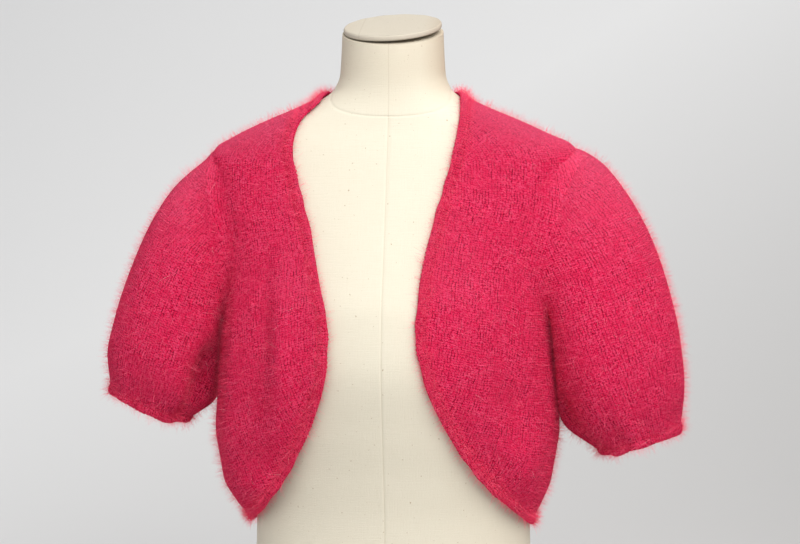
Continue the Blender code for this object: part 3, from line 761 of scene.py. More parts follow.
def softenJoin(name, front, back, sleeve, seamNormals):
    # both panels come with their side column first, and are changed in place
    steps, start, n, r = rowCounts["arch"], rowCounts["below"], join["columns"], join["rings"]
    rows = start + np.arange(steps + 1)
    before = [panel[rows, : n + 1].copy() for panel in (front, back)]
    order = np.concatenate([np.arange(steps + 1), np.arange(steps, 2 * steps + 1) % (2 * steps)])
    body = np.concatenate([before[0], before[1][::-1]])[:, ::-1]
    lines = np.concatenate([body, np.swapaxes(sleeve[1 : r + 1][:, order], 0, 1)], axis=1)
    turn = pi * np.concatenate([np.arange(steps + 1), np.arange(steps, -1, -1)]) / steps
    least = join["least"][name]
    strength = least + (1 - least) * ramp(turn, join["start"], join["end"])
    strength = strength * ramp(turn, 0, join["fadeIn"]) * (1 - ramp(turn, *join["fadeOut"]))
    place = np.arange(n + 1 + r) - n
    window = np.cos(pi / 2 * np.where(place < 0, place / n, place / r)) ** 2
    # only where the sleeve leaves the body in a hollow
    seam = lines[:, n]
    aside = unit(lines[:, n - 6] - seam) + unit(lines[:, n + 4] - seam)
    hollow = ramp(np.sum(aside * seamNormals[order], axis=1), 0.0, 0.5)
    hollow = np.convolve(np.pad(hollow, 4, mode="edge"), np.hanning(11)[1:-1] / 5, mode="valid")
    weight = (hollow[:, None] * strength[:, None] * window[None, :])[:, 1:-1, None]
    weight = join["most"] * weight
    for _ in range(join["rounds"]):
        lines[:, 1:-1] += weight * ((lines[:, :-2] + lines[:, 2:]) / 2 - lines[:, 1:-1])
    sleeve[1 : r + 1, : steps + 1] = np.swapaxes(lines[: steps + 1, n + 1 :], 0, 1)
    sleeve[1 : r + 1, steps + 1 :] = np.swapaxes(lines[steps + 2 : -1, n + 1 :], 0, 1)
    sleeve[0, : steps + 1] = lines[: steps + 1, n]
    sleeve[0, steps + 1 :] = lines[steps + 2 : -1, n]
    front[rows, : n + 1] = lines[: steps + 1, n::-1]
    back[rows, : n + 1] = lines[steps + 1 :, n::-1][::-1]


# Shader and geometry trees: one wrapped socket with arithmetic, and one node maker
class Value:
    def __init__(self, tree, socket):
        self.tree, self.socket = tree, socket

    def maths(self, operation, other, flipped=False):
        first, second = (other, self) if flipped else (self, other)
        return self.tree.node("ShaderNodeMath", {"operation": operation}, {0: first, 1: second})

    def __add__(self, other):
        return self.maths("ADD", other)

    def __radd__(self, other):
        return self.maths("ADD", other, True)

    def __sub__(self, other):
        return self.maths("SUBTRACT", other)

    def __rsub__(self, other):
        return self.maths("SUBTRACT", other, True)

    def __mul__(self, other):
        return self.maths("MULTIPLY", other)

    def __rmul__(self, other):
        return self.maths("MULTIPLY", other, True)

    def __truediv__(self, other):
        return self.maths("DIVIDE", other)

    def __pow__(self, other):
        return self.maths("POWER", other)

    def fraction(self):
        return self.maths("FRACT", 0)

    def absolute(self):
        return self.maths("ABSOLUTE", 0)

    def least(self, other):
        return self.maths("MINIMUM", other)

    def most(self, other):
        return self.maths("MAXIMUM", other)

    def clamped(self, top=1.0):
        return self.most(0.0).least(top)

    def sine(self):
        return self.maths("SINE", 0)


class Tree:
    def __init__(self, tree):
        self.tree = tree

    def node(self, kind, settings=None, values=None, output=0):
        made = self.tree.nodes.new(kind)
        for key, value in (settings or {}).items():
            setattr(made, key, value)
        for key, value in (values or {}).items():
            if isinstance(value, Value):
                self.tree.links.new(value.socket, made.inputs[key])
            else:
                made.inputs[key].default_value = value
        if output is None:
            return made
        return Value(self, made.outputs[output])

    def noise(self, vector, scale, detail=2.0, roughness=0.5):
        values = {"Vector": vector, "Scale": scale, "Detail": detail, "Roughness": roughness}
        return self.node("ShaderNodeTexNoise", {}, values)

    def parts(self, vector):
        made = self.node("ShaderNodeSeparateXYZ", {}, {0: vector}, None)
        return [Value(self, socket) for socket in made.outputs]

    def uvMap(self, name):
        return self.node("ShaderNodeUVMap", {"uv_map": name})

    def objectPlace(self):
        return self.node("ShaderNodeTexCoord", output=3)

    def stretched(self, across, up, detail=3.0, roughness=0.6):
        # noise drawn out along or across the cloth
        return self.noise(self.node("ShaderNodeCombineXYZ", {}, {0: across, 1: up}), 1.0, detail, roughness)

    def link(self, value, shader, name):
        self.tree.links.new(value.socket, shader.inputs[name])

    def bump(self, shader, height, strength, distance):
        values = {"Strength": strength, "Distance": distance, "Height": height}
        self.link(self.node("ShaderNodeBump", {}, values), shader, "Normal")

    def mixColours(self, share, first, second, blend="MIX"):
        settings = {"data_type": "RGBA", "blend_type": blend, "clamp_factor": True}
        return self.node("ShaderNodeMix", settings, {0: share, 6: first, 7: second}, 2)


def newMaterial(name, constants):
    made = bpy.data.materials.new(name)
    made.use_nodes = True
    tree = Tree(made.node_tree)
    shader = made.node_tree.nodes["Principled BSDF"]
    for key, value in constants.items():
        shader.inputs[key].default_value = value
    return made, tree, shader


mohair = {
    # deep and light: painted shade in the gaps between stitches and painted highlight on their tops, both
    # mixed with random grain
    "deep": (0.24, 0.001, 0.018, 1),
    "base": (0.97, 0.006, 0.084, 1),
    "light": (1.0, 0.078, 0.210, 1),
    "veil": (0.88, 0.016, 0.095, 1),
    # colour of the painted highlight where the cloth faces up
    "faceUpHighlight": (1.0, 0.170, 0.310, 1),
    "bump": 0.0026,
    "sheen": 0.07,
    "wander": 1.1,       # how far a wale strays to the side, in stitches
    "rowWander": 1.4,
    "waleGap": 0.36,     # depth of the gap between two wales, where they stand close
    "openGap": 0.66,     # and what is added where they stand open
    "legGap": 0.34,      # depth and half width of the gap between a stitch's two legs
    "legHalf": 0.14,
    "slant": 0.9,
    "padLow": 0.46,      # height of a stitch at its ends, and what its middle adds
    "padRise": 0.54,
    "grainScale": 430.0,
    "fluffScale": 1100.0,
    "veilScale": 42.0,
    "veilMost": 0.4,
    "faceUpHighlightStart": 0.25,    # how far the cloth turns up where the painted highlight begins
    "faceUpHighlightMost": 0.45,
    "edgingShade": 0.93,
}


def knitFinish(name, darker=1.0):
    made, tree, shader = newMaterial(
        name,
        {
            "Roughness": 0.92,
            "Specular IOR Level": 0.05,
            "Sheen Weight": mohair["sheen"],
            "Sheen Roughness": 0.45,
            "Sheen Tint": (1.0, 0.22, 0.36, 1),
        },
    )
    places = tree.uvMap("knit")
    loose = tree.noise(places, 0.42, 2.0)
    across, up, _ = tree.parts(places)
    # some wales stand more open than others, for a short way
    openness = (tree.stretched(across * 0.7, up * 0.16, 3.0, 0.65) * 3.4 - 1.2).clamped()
    across = across + (loose - 0.5) * mohair["wander"]
    up = up + (tree.noise(places, 0.33, 1.0) - 0.5) * mohair["rowWander"]
    aside = (across.fraction() - 0.5).absolute()
    # a stitch is two legs; the gap between two wales is deeper than the one between its legs
    gap = (aside * 2) ** 3 * (mohair["waleGap"] + openness * mohair["openGap"])
    leg = 1 - gap - mohair["legGap"] * (1 - aside / mohair["legHalf"]).most(0.0)
    step = (up - aside * mohair["slant"]).fraction()
    pad = 1 - (step * 2.0 - 1.0) ** 2
    stitch = (leg * (mohair["padLow"] + pad * mohair["padRise"])).most(0.0)
    place = tree.objectPlace()
    grain = tree.noise(place, mohair["grainScale"], 3.0, 0.7) - 0.5
    fluff = tree.noise(place, mohair["fluffScale"], 2.0, 0.6) - 0.5
    veil = tree.noise(place, mohair["veilScale"], 4.0, 0.62)
    # painted shade: the gaps between wales and legs take the dark colour, with random grain on top
    share = (stitch * 2.3 + grain * 4.2 + fluff * 1.6 - 0.30).clamped()
    colour = tree.mixColours(share, mohair["deep"], mohair["base"])
    # painted highlight: the stitches' tops take the paler colour, with random grain on top
    litTopsAndGrain = ((stitch - 0.42) * 1.5 + grain * 4.6 + fluff * 1.9).clamped()
    colour = tree.mixColours(litTopsAndGrain, colour, mohair["light"])
    # short lying hair dulls the stitches in patches
    dull = ((veil - 0.46) * 4.0).clamped(mohair["veilMost"])
    colour = tree.mixColours(dull, colour, mohair["veil"])
    # painted highlight: the cloth is paler where it faces up, as under light from above
    facing = tree.parts(tree.node("ShaderNodeTexCoord", output=1))[2]
    upward = ((facing - mohair["faceUpHighlightStart"]) * 1.5).clamped()
    colour = tree.mixColours(upward * mohair["faceUpHighlightMost"], colour, mohair["faceUpHighlight"])
    if darker < 1:
        shade = (darker, darker * 0.94, darker * 0.96, 1)
        colour = tree.mixColours(1.0, colour, shade, "MULTIPLY")
    tree.link(colour, shader, "Base Color")
    tree.bump(shader, stitch * 1.5 + grain * 2.2 + fluff * 0.9, 0.9, mohair["bump"])
    return made


def haloFinish(name, deep, light, cells=512):
    # fibres take colours between two, by where they lie on the baking map
    made, tree, shader = newMaterial(
        name,
        {
            "Roughness": 0.8,
            "Specular IOR Level": 0.06,
            "Sheen Weight": 0.06,
            "Sheen Tint": (1.0, 0.5, 0.6, 1),
        },
    )
    places = {0: tree.uvMap("OFBake"), "Scale": float(cells)}
    scaled = tree.node("ShaderNodeVectorMath", {"operation": "SCALE"}, places)
    cell = tree.node("ShaderNodeVectorMath", {"operation": "FLOOR"}, {0: scaled})
    chance = tree.node("ShaderNodeTexWhiteNoise", {"noise_dimensions": "2D"}, {"Vector": cell})
    tree.link(tree.mixColours(chance, deep, light), shader, "Base Color")
    return made


cover = {
    "base": (0.645, 0.600, 0.492, 1),
    "slub": (0.575, 0.52, 0.400, 1),
    "stain": (0.57, 0.52, 0.405, 1),
    "seam": (0.42, 0.34, 0.24, 1),
    "shade": (0.52, 0.43, 0.32, 1),
    "slubMost": 0.34,
    "stainMost": 0.22,
    "seamHalf": 0.75,        # the seam's half width in millimetres
    "seamMost": 0.35,
    "neckStart": 0.630,      # the neck is shaded above here, and more at its sides
    "neckSide": 0.030,
    "rightStart": 0.05,
    "rightShade": 0.20,
    "capShade": 0.80,
}


def coverFinish(name, darker=1.0):
    made, tree, shader = newMaterial(name, {"Roughness": 0.86, "Specular IOR Level": 0.3})
    places = tree.uvMap("cloth")
    across, up, _ = tree.parts(places)
    warp = tree.stretched(across * 1.1, up * 0.055)
    weft = tree.stretched(across * 0.05, up * 1.0)
    threads = (across * 9.0).sine() * (up * 9.0).sine()
    slubs = ((warp - 0.5) * 1.6 + (weft - 0.5) * 1.9 + 0.25).clamped()
    colour = tree.mixColours(slubs * cover["slubMost"], cover["base"], cover["slub"])
    flecks = ((tree.noise(places, 0.34, 1.0) - 0.735) * 24.0).clamped()
    colour = tree.mixColours(flecks, colour, cover["seam"])
    stain = ((tree.noise(tree.objectPlace(), 7.0, 2.0) - 0.45) * 0.7).clamped(cover["stainMost"])
    colour = tree.mixColours(stain, colour, cover["stain"])
    x, _, z = tree.parts(tree.objectPlace())
    farRight = ((x - cover["rightStart"]) * 11.0).clamped()
    colour = tree.mixColours(farRight * cover["rightShade"], colour, cover["shade"])
    atNeck = ((z - cover["neckStart"]) * 25.0).clamped()
    atSide = ((x.absolute() - cover["neckSide"]) * 50.0).clamped()
    toRight = (x * 16.0).clamped()
    shaded = atNeck * (0.24 + atSide * (0.22 + toRight * 0.50))
    colour = tree.mixColours(shaded, colour, cover["shade"])
    # the middle-front seam runs at 0 across
    line = (1 - across.absolute() / cover["seamHalf"]).most(0.0) * cover["seamMost"]
    colour = tree.mixColours(line, colour, cover["seam"])
    if darker < 1:
        shade = (darker, darker * 0.995, darker * 1.02, 1)
        colour = tree.mixColours(1.0, colour, shade, "MULTIPLY")
    tree.link(colour, shader, "Base Color")
    tree.bump(shader, threads * 0.25 + warp + weft * 1.1, 0.55, 0.0004)
    return made


knitLook = knitFinish("mohairKnit")
edgeLook = knitFinish("mohairEdging", mohair["edgingShade"])
haloLook = haloFinish("mohairHalo", (0.76, 0.009, 0.064, 1), (1.0, 0.100, 0.205, 1))
wispLook = haloFinish("mohairWisps", (0.97, 0.04, 0.13, 1), (1.0, 0.26, 0.37, 1))
strayLook = haloFinish("mohairStrays", (1.0, 0.20, 0.31, 1), (0.95, 0.72, 0.73, 1))
coverLook = coverFinish("formCover")
capLook = coverFinish("capCover", cover["capShade"])

print("form")


def groove(distance):
    return np.exp(-((distance / form["seamHalf"]) ** 2))


def buildForm(turns=176):
    # levels crowd at the neck seam, which dips towards the middle front
    seam = form["seamLevel"]
    near = seam + np.linspace(-0.004, 0.004, 13)
    levels = np.concatenate([
        [0.0, 0.002], np.linspace(0.008, 0.60, 92), np.linspace(0.605, seam - 0.006, 14),
        near, np.linspace(seam + 0.007, form["neckTop"], 18),
    ])
    fine = np.radians([-1.6, -1.1, -0.75, -0.45, -0.2, 0, 0.2, 0.45, 0.75, 1.1, 1.6])
    angles = np.concatenate([fine, np.linspace(radians(3), 2 * pi - radians(3), turns)])
    angles = np.sort(angles % (2 * pi))
    level, angle = np.meshgrid(levels, angles, indexing="ij")
    facing = np.clip(np.cos(angle), 0, 1) ** 1.6
    dip = form["seamDip"] * facing * np.exp(-(((level - seam) / 0.028) ** 2))
    height = level - dip
    x, y = formPoints(angle, height)
    lean = np.tan(form["tilt"] * ramp(height, form["tiltStart"], form["neckTop"]))
    # seams: round the neck's base, down the middle front below it, and down both sides
    deep = form["seamDepth"] * groove(level - seam)
    apart = (angle + pi) % (2 * pi) - pi
    width = np.hypot(x, y)
    below = ramp(seam - level, -0.001, 0.003)
    deep = deep + form["frontSeamDepth"] * groove(apart * width / 0.8) * below
    deep = deep + form["sideSeamDepth"] * groove((np.abs(apart) - pi / 2) * width / 0.9)
    bottom = np.clip((form["baseRound"] - level) / form["baseRound"], 0, 1)
    shrink = 1 - (deep + 0.0025 * bottom**2) / width
    points = np.stack([x * shrink, y * shrink, height + lean * y], axis=-1)
    return points, height


def formMesh():
    points, height = buildForm()
    rows, columns = points.shape[:2]
    quadRows, quadCols = gridQuads(rows - 1, columns)
    faces = (quadRows * columns + quadCols % columns).tolist()
    steps = np.linalg.norm(np.diff(closed(points, 1), axis=1), axis=2)
    run = np.concatenate([np.zeros((rows, 1)), np.cumsum(steps, axis=1)], axis=1)
    run = np.where(run > run[:, -1:] / 2, run - run[:, -1:], run)
    # the cloth's map counts millimetres from the middle front
    clothMap = (np.stack([run, closed(height, 1)], axis=-1) * 1000)[quadRows, quadCols]
    # the face at the middle back joins the two ends of the count
    across = clothMap[..., 0]
    jump = (across.max(axis=1) - across.min(axis=1) > 60)[:, None] & (across < 0)
    clothMap[..., 0] = np.where(jump, across + 2 * np.abs(run).max() * 1000, across)
    bake = np.stack([quadCols / columns * 0.97 + 0.01, quadRows / rows * 0.80 + 0.18], axis=-1)
    clothMap, bake, flat = clothMap.reshape(-1, 2), bake.reshape(-1, 2), points.reshape(-1, 3)
    # the two end faces lie on the baking map below the side
    for row, centreU in ((0, 0.09), (rows - 1, 0.30)):
        ring = np.arange(columns) + row * columns
        ring = ring[::-1] if row == 0 else ring
        faces.append(ring.tolist())
        place = flat[ring][:, :2]
        clothMap = np.concatenate([clothMap, place * 1000])
        spread = (place - place.mean(axis=0)) / 0.4 * 0.16
        bake = np.concatenate([bake, spread + (centreU, 0.09)])
    return makeMesh("formTorso", flat, faces, {"OFBake": bake, "cloth": clothMap}, 50)


torso = addPiece("formTorso", formMesh(), coverLook, "cover", "form_torso")


def capMesh(turns=96):
    # a padded disc: profile from the middle of its underside, round the rim, to its crown
    radius, thick, curve = cap["radius"], cap["thickness"], cap["round"]
    profile = [(radius * share, 0.0) for share in (0.25, 0.55, 0.85)]
    for bend in np.linspace(-pi / 2, pi / 2, 13):
        straight = (thick / 2 - curve) * (1 if bend > 0 else -1)
        rise = thick / 2 + straight + curve * sin(bend)
        profile.append((radius - curve + curve * cos(bend), rise))
    profile += [(radius * share, thick + rise) for share, rise in cap["crown"]]
    phase = np.linspace(0, 2 * pi, turns, endpoint=False)
    points, cloth, bake = [], [], []
    for reach, rise in profile:
        pucker = cap["pucker"] * np.sin(13 * phase + 0.8) * (reach / radius) ** 6
        for k, turn in enumerate(phase):
            up = rise + pucker[k] * (rise > thick / 2)
            points.append((reach * sin(turn), -reach * cos(turn), up))
    points += [(0, 0, 0), (0, 0, thick + cap["crown"][-1][1])]
    count = len(profile)
    rowIds, turnIds = gridQuads(count - 1, turns)
    faces = (rowIds * turns + turnIds % turns).tolist()
    for k in range(turns):
        last = (count - 1) * turns
        faces.append(((k + 1) % turns, k, count * turns))
        faces.append((last + k, last + (k + 1) % turns, count * turns + 1))
    tilt, roll = form["tilt"], cap["roll"]
    lift = cap["lift"] + radius * sin(roll)
    flat = np.array(points)
    for face in faces:
        top = min(face) >= turns * cap["topRow"] or max(face) == count * turns + 1
        for corner in face:
            x, y, z = flat[corner]
            cloth.append((x * 1000 + 30, y * 1000))
            spread = 1 + (z / thick if not top else 0) * 0.06
            centreU = 0.26 if top else 0.74
            spread /= cap["mapSpan"]
            bake.append((x * spread + centreU, y * spread + 0.5))
    x, y, z = flat.T
    x, z = x * cos(roll) - z * sin(roll), z * cos(roll) + x * sin(roll) + lift
    y, z = y * cos(tilt) - z * sin(tilt), z * cos(tilt) + y * sin(tilt) + form["neckTop"]
    return makeMesh("formCap", np.stack([x, y, z], axis=1), faces, {"OFBake": bake, "cloth": cloth})


addPiece("formCap", capMesh(), capLook, "cap_cover", "form_cap")

# Mohair fibres: a few bent ribbons, scattered and turned by one geometry tree
fibres = {
    "fuzz": {
        "kinds": 12, "length": 0.0100, "width": 0.00012, "sections": 2,
        "rise": (0.32, 1.40), "curl": 0.9, "perArea": 225000, "sizes": (0.35, 1.25), "finish": haloLook,
    },
    "wisps": {
        "kinds": 10, "length": 0.0130, "width": 0.00017, "sections": 4,
        "rise": (0.05, 1.00), "curl": 1.2, "perArea": 30000, "sizes": (0.5, 1.25), "finish": wispLook,
    },
    "strays": {
        "kinds": 9, "length": 0.0200, "width": 0.00017, "sections": 5,
        "rise": (0.02, 0.70), "curl": 1.7, "perArea": 800, "sizes": (0.15, 1.0), "finish": strayLook,
    },
}


def fibreKinds(given, seed):
    # each ribbon leaves the cloth at its own slant and curls over
    chance = np.random.default_rng(seed)
    width, sections, curl = given["width"], given["sections"], given["curl"]
    group = bpy.data.collections.new(f"fibreKinds{seed}")
    for kind in range(given["kinds"]):
        slant = chance.uniform(*given["rise"])
        bendUp = chance.uniform(-curl, curl)
        bendSide = chance.uniform(-curl, curl)
        points = []
        x, y, z = 0.0, 0.0, -0.0006
        step = given["length"] / sections
        for k in range(sections + 1):
            share = k / sections
            thick = width * (1 - 0.75 * share) / 2
            points.append(((x, y, z), thick))
            turn = bendSide * share
            lift = slant + bendUp * share
            x += step * cos(lift) * cos(turn)
            y += step * cos(lift) * sin(turn)
            z += step * sin(lift)
        vertices, faces = [], []
        for (px, py, pz), thick in points[:-1]:
            vertices += [(px, py - thick, pz), (px, py + thick, pz)]
        vertices.append(points[-1][0])
        for k in range(sections - 1):
            faces.append((2 * k, 2 * k + 1, 2 * k + 3, 2 * k + 2))
        faces.append((2 * sections - 2, 2 * sections - 1, 2 * sections))
        mesh = bpy.data.meshes.new(f"fibre{seed}x{kind}")
        mesh.from_pydata(vertices, [], faces)
        mesh.shade_smooth()
        group.objects.link(bpy.data.objects.new(mesh.name, mesh))
    return group


def scatterTree():
    group = bpy.data.node_groups.new("scatterFibres", "GeometryNodeTree")
    for name, kind in (
        ("Cloth", "NodeSocketGeometry"), ("Kinds", "NodeSocketCollection"), ("Per area", "NodeSocketFloat"),
        ("Smallest", "NodeSocketFloat"), ("Largest", "NodeSocketFloat"), ("Last kind", "NodeSocketInt"),
        ("Seed", "NodeSocketInt"), ("Finish", "NodeSocketMaterial"),
    ):
        group.interface.new_socket(name, in_out="INPUT", socket_type=kind)
    group.interface.new_socket("Fibres", in_out="OUTPUT", socket_type="NodeSocketGeometry")
    tree = Tree(group)
    start = tree.node("NodeGroupInput", output=None)
    given = {socket.name: Value(tree, socket) for socket in start.outputs if socket.name}
    spread = tree.node(
        "GeometryNodeDistributePointsOnFaces", {"distribute_method": "RANDOM"},
        {"Mesh": given["Cloth"], "Density": given["Per area"], "Seed": given["Seed"]}, None,
    )
    points, rotation = (Value(tree, spread.outputs[name]) for name in ("Points", "Rotation"))
    kinds = tree.node(
        "GeometryNodeCollectionInfo", {},
        {"Collection": given["Kinds"], "Separate Children": True, "Reset Children": True},
    )

    def chance(kind, first, least, most, offset, output):
        values = {first: least, first + 1: most, "Seed": given["Seed"] + offset}
        return tree.node("FunctionNodeRandomValue", {"data_type": kind}, values, output)

    spin = chance("FLOAT", 2, 0.0, 2 * pi, 11, 1)
    size = chance("FLOAT", 2, given["Smallest"], given["Largest"], 23, 1)
    which = chance("INT", 4, 0, given["Last kind"], 37, 2)
    turned = tree.node("ShaderNodeCombineXYZ", {}, {2: spin})
    placed = tree.node(
        "GeometryNodeInstanceOnPoints", {},
        {
            "Points": points, "Instance": kinds, "Pick Instance": True,
            "Instance Index": which, "Rotation": rotation, "Scale": size,
        },
    )
    turns = {"Instances": placed, "Rotation": turned, "Local Space": True}
    spun = tree.node("GeometryNodeRotateInstances", {}, turns)
    real = tree.node("GeometryNodeRealizeInstances", {}, {0: spun})
    dressed = {"Geometry": real, "Material": given["Finish"]}
    finished = tree.node("GeometryNodeSetMaterial", {}, dressed)
    tree.node("NodeGroupOutput", {}, {0: finished}, None)
    return group


scatter = scatterTree()
for seed, given in enumerate(fibres.values()):
    given["group"] = fibreKinds(given, seed + 3)


def scatterOn(name, scalp, source, thickness, seed, slot):
    holder = bpy.data.objects.new(name + "Scalp", scalp)
    bpy.context.scene.collection.objects.link(holder)
    modifier = holder.modifiers.new("scatter", "NODES")
    modifier.node_group = scatter
    given = {
        "Kinds": source["group"], "Per area": source["perArea"] * thickness,
        "Smallest": source["sizes"][0], "Largest": source["sizes"][1],
        "Last kind": source["kinds"] - 1, "Seed": seed, "Finish": source["finish"],
    }
    for item in scatter.interface.items_tree:
        if item.in_out == "INPUT" and item.name in given:
            modifier[item.identifier] = given[item.name]
    bpy.context.view_layer.update()
    ready = holder.evaluated_get(bpy.context.evaluated_depsgraph_get())
    mesh = bpy.data.meshes.new_from_object(ready)
    mesh.name = name
    bpy.data.objects.remove(holder, do_unlink=True)
    for layer in list(mesh.uv_layers):
        mesh.uv_layers.remove(layer)
    # every ribbon has its own small cell of the baking map
    faceLoops = ribbonLoops(source["sections"])
    count = len(mesh.loops) // len(faceLoops)
    side = int(np.ceil(np.sqrt(count)))
    number = np.arange(count)
    corner = np.stack([number % side, number // side], axis=1)[:, None, :]
    cells = (corner + 0.15 + 0.7 * np.array(faceLoops)[None]) / side * 0.98 + 0.01
    mesh.uv_layers.new(name="OFBake").data.foreach_set("uv", cells.astype(np.float32).ravel())
    return addPiece(name, mesh, source["finish"], slot)


def ribbonLoops(sections):
    # corners of one ribbon's faces, laid out flat from 0 to 1
    step = 1 / sections
    loops = []
    for k in range(sections - 1):
        loops += [(0, k * step), (1, k * step), (1, (k + 1) * step), (0, (k + 1) * step)]
    return loops + [(0, 1 - step), (1, 1 - step), (0.5, 1)]


def scalpMesh(name, outer, wrap, flipped, every=2):
    # the outside alone, coarser, for the fibres to stand on
    rows = list(range(0, outer.shape[0], every))
    if rows[-1] != outer.shape[0] - 1:
        rows.append(outer.shape[0] - 1)
    columns = list(range(0, outer.shape[1], every))
    if not wrap and columns[-1] != outer.shape[1] - 1:
        columns.append(outer.shape[1] - 1)
    points = outer[rows][:, columns]
    height, width = points.shape[:2]
    quadRows, quadCols = gridQuads(height - 1, width if wrap else width - 1)
    faces = quadRows * width + quadCols % width
    if flipped:
        faces = faces[:, ::-1]
    mesh = bpy.data.meshes.new(name + "Scalp")
    mesh.from_pydata(points.reshape(-1, 3).tolist(), [], faces.tolist())
    return mesh


def addFluff(name, scalp, seed, slot, thickness=1.0):
    added = []
    for kind, source in fibres.items():
        title = name + kind.capitalize()
        added.append(scatterOn(title, scalp, source, thickness, seed + len(added), slot))
    print(name, [len(piece.data.polygons) for piece in added])
    return added


def gridArea(points, wrap=False):
    points = closed(points, 1) if wrap else points
    a, b, c, d = points[:-1, :-1], points[:-1, 1:], points[1:, 1:], points[1:, :-1]
    return round(float(0.5 * np.linalg.norm(np.cross(c - a, d - b), axis=2).sum()), 4)


print("panels")
panels = {
    "back": {
        "flat": (0.47, 0.47), "area": 0.165,
        "lean": 0.0, "middle": pi, "seed": 101, "node": "back",
    },
    "frontLeft": {
        "flat": (0.20, 0.46), "area": 0.062,
        "lean": radians(16), "middle": -pi / 2, "seed": 202, "node": "front_left",
    },
    "frontRight": {
        "flat": (0.20, 0.46), "area": 0.066,
        "lean": radians(-13), "middle": pi / 2, "seed": 303, "node": "front_right",
    },
}
grids = {"back": backGrid(), "frontLeft": frontGrid("left"), "frontRight": frontGrid("right")}
skins = {name: bodyPoints(angle, height) for name, (angle, height) in grids.items()}
tubes = {name: sleeveWall(name) for name in sideSigns}
softenJoin("left", skins["frontLeft"][:, ::-1], skins["back"][:, ::-1], *tubes["left"])
softenJoin("right", skins["frontRight"][:, ::-1], skins["back"], *tubes["right"])
skins = {name: fillHollows(points) for name, points in skins.items()}
tubes = {name: (fillHollows(points), normals) for name, (points, normals) in tubes.items()}

for name, panel in panels.items():
    angle, height = grids[name]
    outer = skins[name]
    inner = outer - knit["wall"] * bodyNormals(angle, height)
    counts = stitchCount(angle, height, panel["middle"], panel["lean"])
    mesh, flipped = meshFromGrids(name + "Knit", outer, inner, counts, False)
    piece = addPiece(name + "Knit", mesh, knitLook, "knit", panel["node"])
    fluff = addFluff(name, scalpMesh(name, outer, False, flipped), panel["seed"], "knit")
    print(name, "area", gridArea(outer))

print("sleeves and cuffs")
sleeveCuts = {
    "left": {"flat": (0.46, 0.30), "area": 0.105, "seed": 404},
    "right": {"flat": (0.47, 0.33), "area": 0.120, "seed": 505},
}
cuff = {
    "flatWidth": 0.016,
    # how far each point of the section falls below the sleeve's rim, and stands off it
    "profile": (
        (-0.0006, -0.0014), (0.0002, -0.0004), (0.0014, 0.0003), (0.0034, 0.0008),
        (0.0054, 0.0008), (0.0072, 0.0004), (0.0086, -0.0005), (0.0092, -0.0016),
        (0.0088, -0.0027), (0.0074, -0.0035), (0.0050, -0.0036), (0.0020, -0.0032),
        (-0.0004, -0.0030),
    ),
    "shown": 9,
    "depth": 0.009,
    "scallop": 0.0006,
    "scallopCount": 62,
    "slack": (0.0009, 0.0006),    # slow and quicker unevenness of the lower edge
    "roll": 0.0004,
    "rollWave": 0.0002,
    "follow": 0.8,       # how far the cuff keeps on in the sleeve's own direction
    "stitches": 118,
    "thickness": 3.4,
}


def ringMesh(name, rings, counts):
    # a closed ring of sections, every one a closed loop; counts give the stitches
    stations, around = rings.shape[:2]
    rowIds, colIds = gridQuads(stations, around)
    faces = (rowIds % stations) * around + colIds % around
    knitMap = counts[rowIds, colIds]
    bake = np.stack([colIds / around * 0.97 + 0.01, rowIds / stations * 0.97 + 0.01], -1)
    points = rings.reshape(-1, 3)
    if insideOut(points, faces):
        faces, knitMap, bake = faces[:, ::-1], knitMap[:, ::-1], bake[:, ::-1]
    return makeMesh(name, points, faces, {"OFBake": bake, "knit": knitMap})


def addEdging(name, node, rings, stitches, given, seed, row, middle):
    # the fibres stand on the points shown; "row" and "middle" tell which way these face
    run = lengthAlong(closed(rings[0])) / knit["row"]
    counts = np.stack(np.broadcast_arrays(stitches[:, None], run[None, :]), axis=-1)
    piece = addPiece(name, ringMesh(name, rings, counts), edgeLook, "edging", node)
    outer = np.transpose(rings[:, : given["shown"]], (1, 0, 2))
    corner = outer[row, 0]
    facing = np.cross(outer[row, 1] - corner, outer[row + 1, 0] - corner)
    flipped = np.dot(facing, corner - middle) <= 0
    scalp = scalpMesh(name, outer, True, flipped, 1)
    return piece, addFluff(name, scalp, seed, "edging", given["thickness"])


def cuffRings(name, outer, inner):
    rim, wall = outer[-1], outer[-1] - inner[-1]
    around = np.roll(rim, -1, axis=0) - np.roll(rim, 1, axis=0)
    down = unit(np.cross(around, wall))
    down *= np.sign(-down[:, 2:])
    down = unit(down.mean(axis=0) + cuff["follow"] * unit(outer[-1] - outer[-3]))
    wall = unit(wall)
    phase = np.arange(len(rim)) / len(rim) * 2 * pi
    wave = np.abs(np.sin(phase * cuff["scallopCount"] / 2)) ** 0.7
    slow, quick = cuff["slack"]
    slack = slow * np.sin(3 * phase + 1 + len(name)) + quick * np.sin(7 * phase + 2)
    roll = cuff["roll"] * np.sin(11 * phase + 3) + cuff["rollWave"] * wave
    sections = []
    for fall, proud in cuff["profile"]:
        share = np.clip(fall / cuff["depth"], 0, 1)
        drop = fall + share**2 * (cuff["scallop"] * (wave - 0.5) * 1.6 + slack)
        sections.append(rim + drop[:, None] * down + (proud + roll * share)[:, None] * wall)
    return np.stack(sections, axis=1)


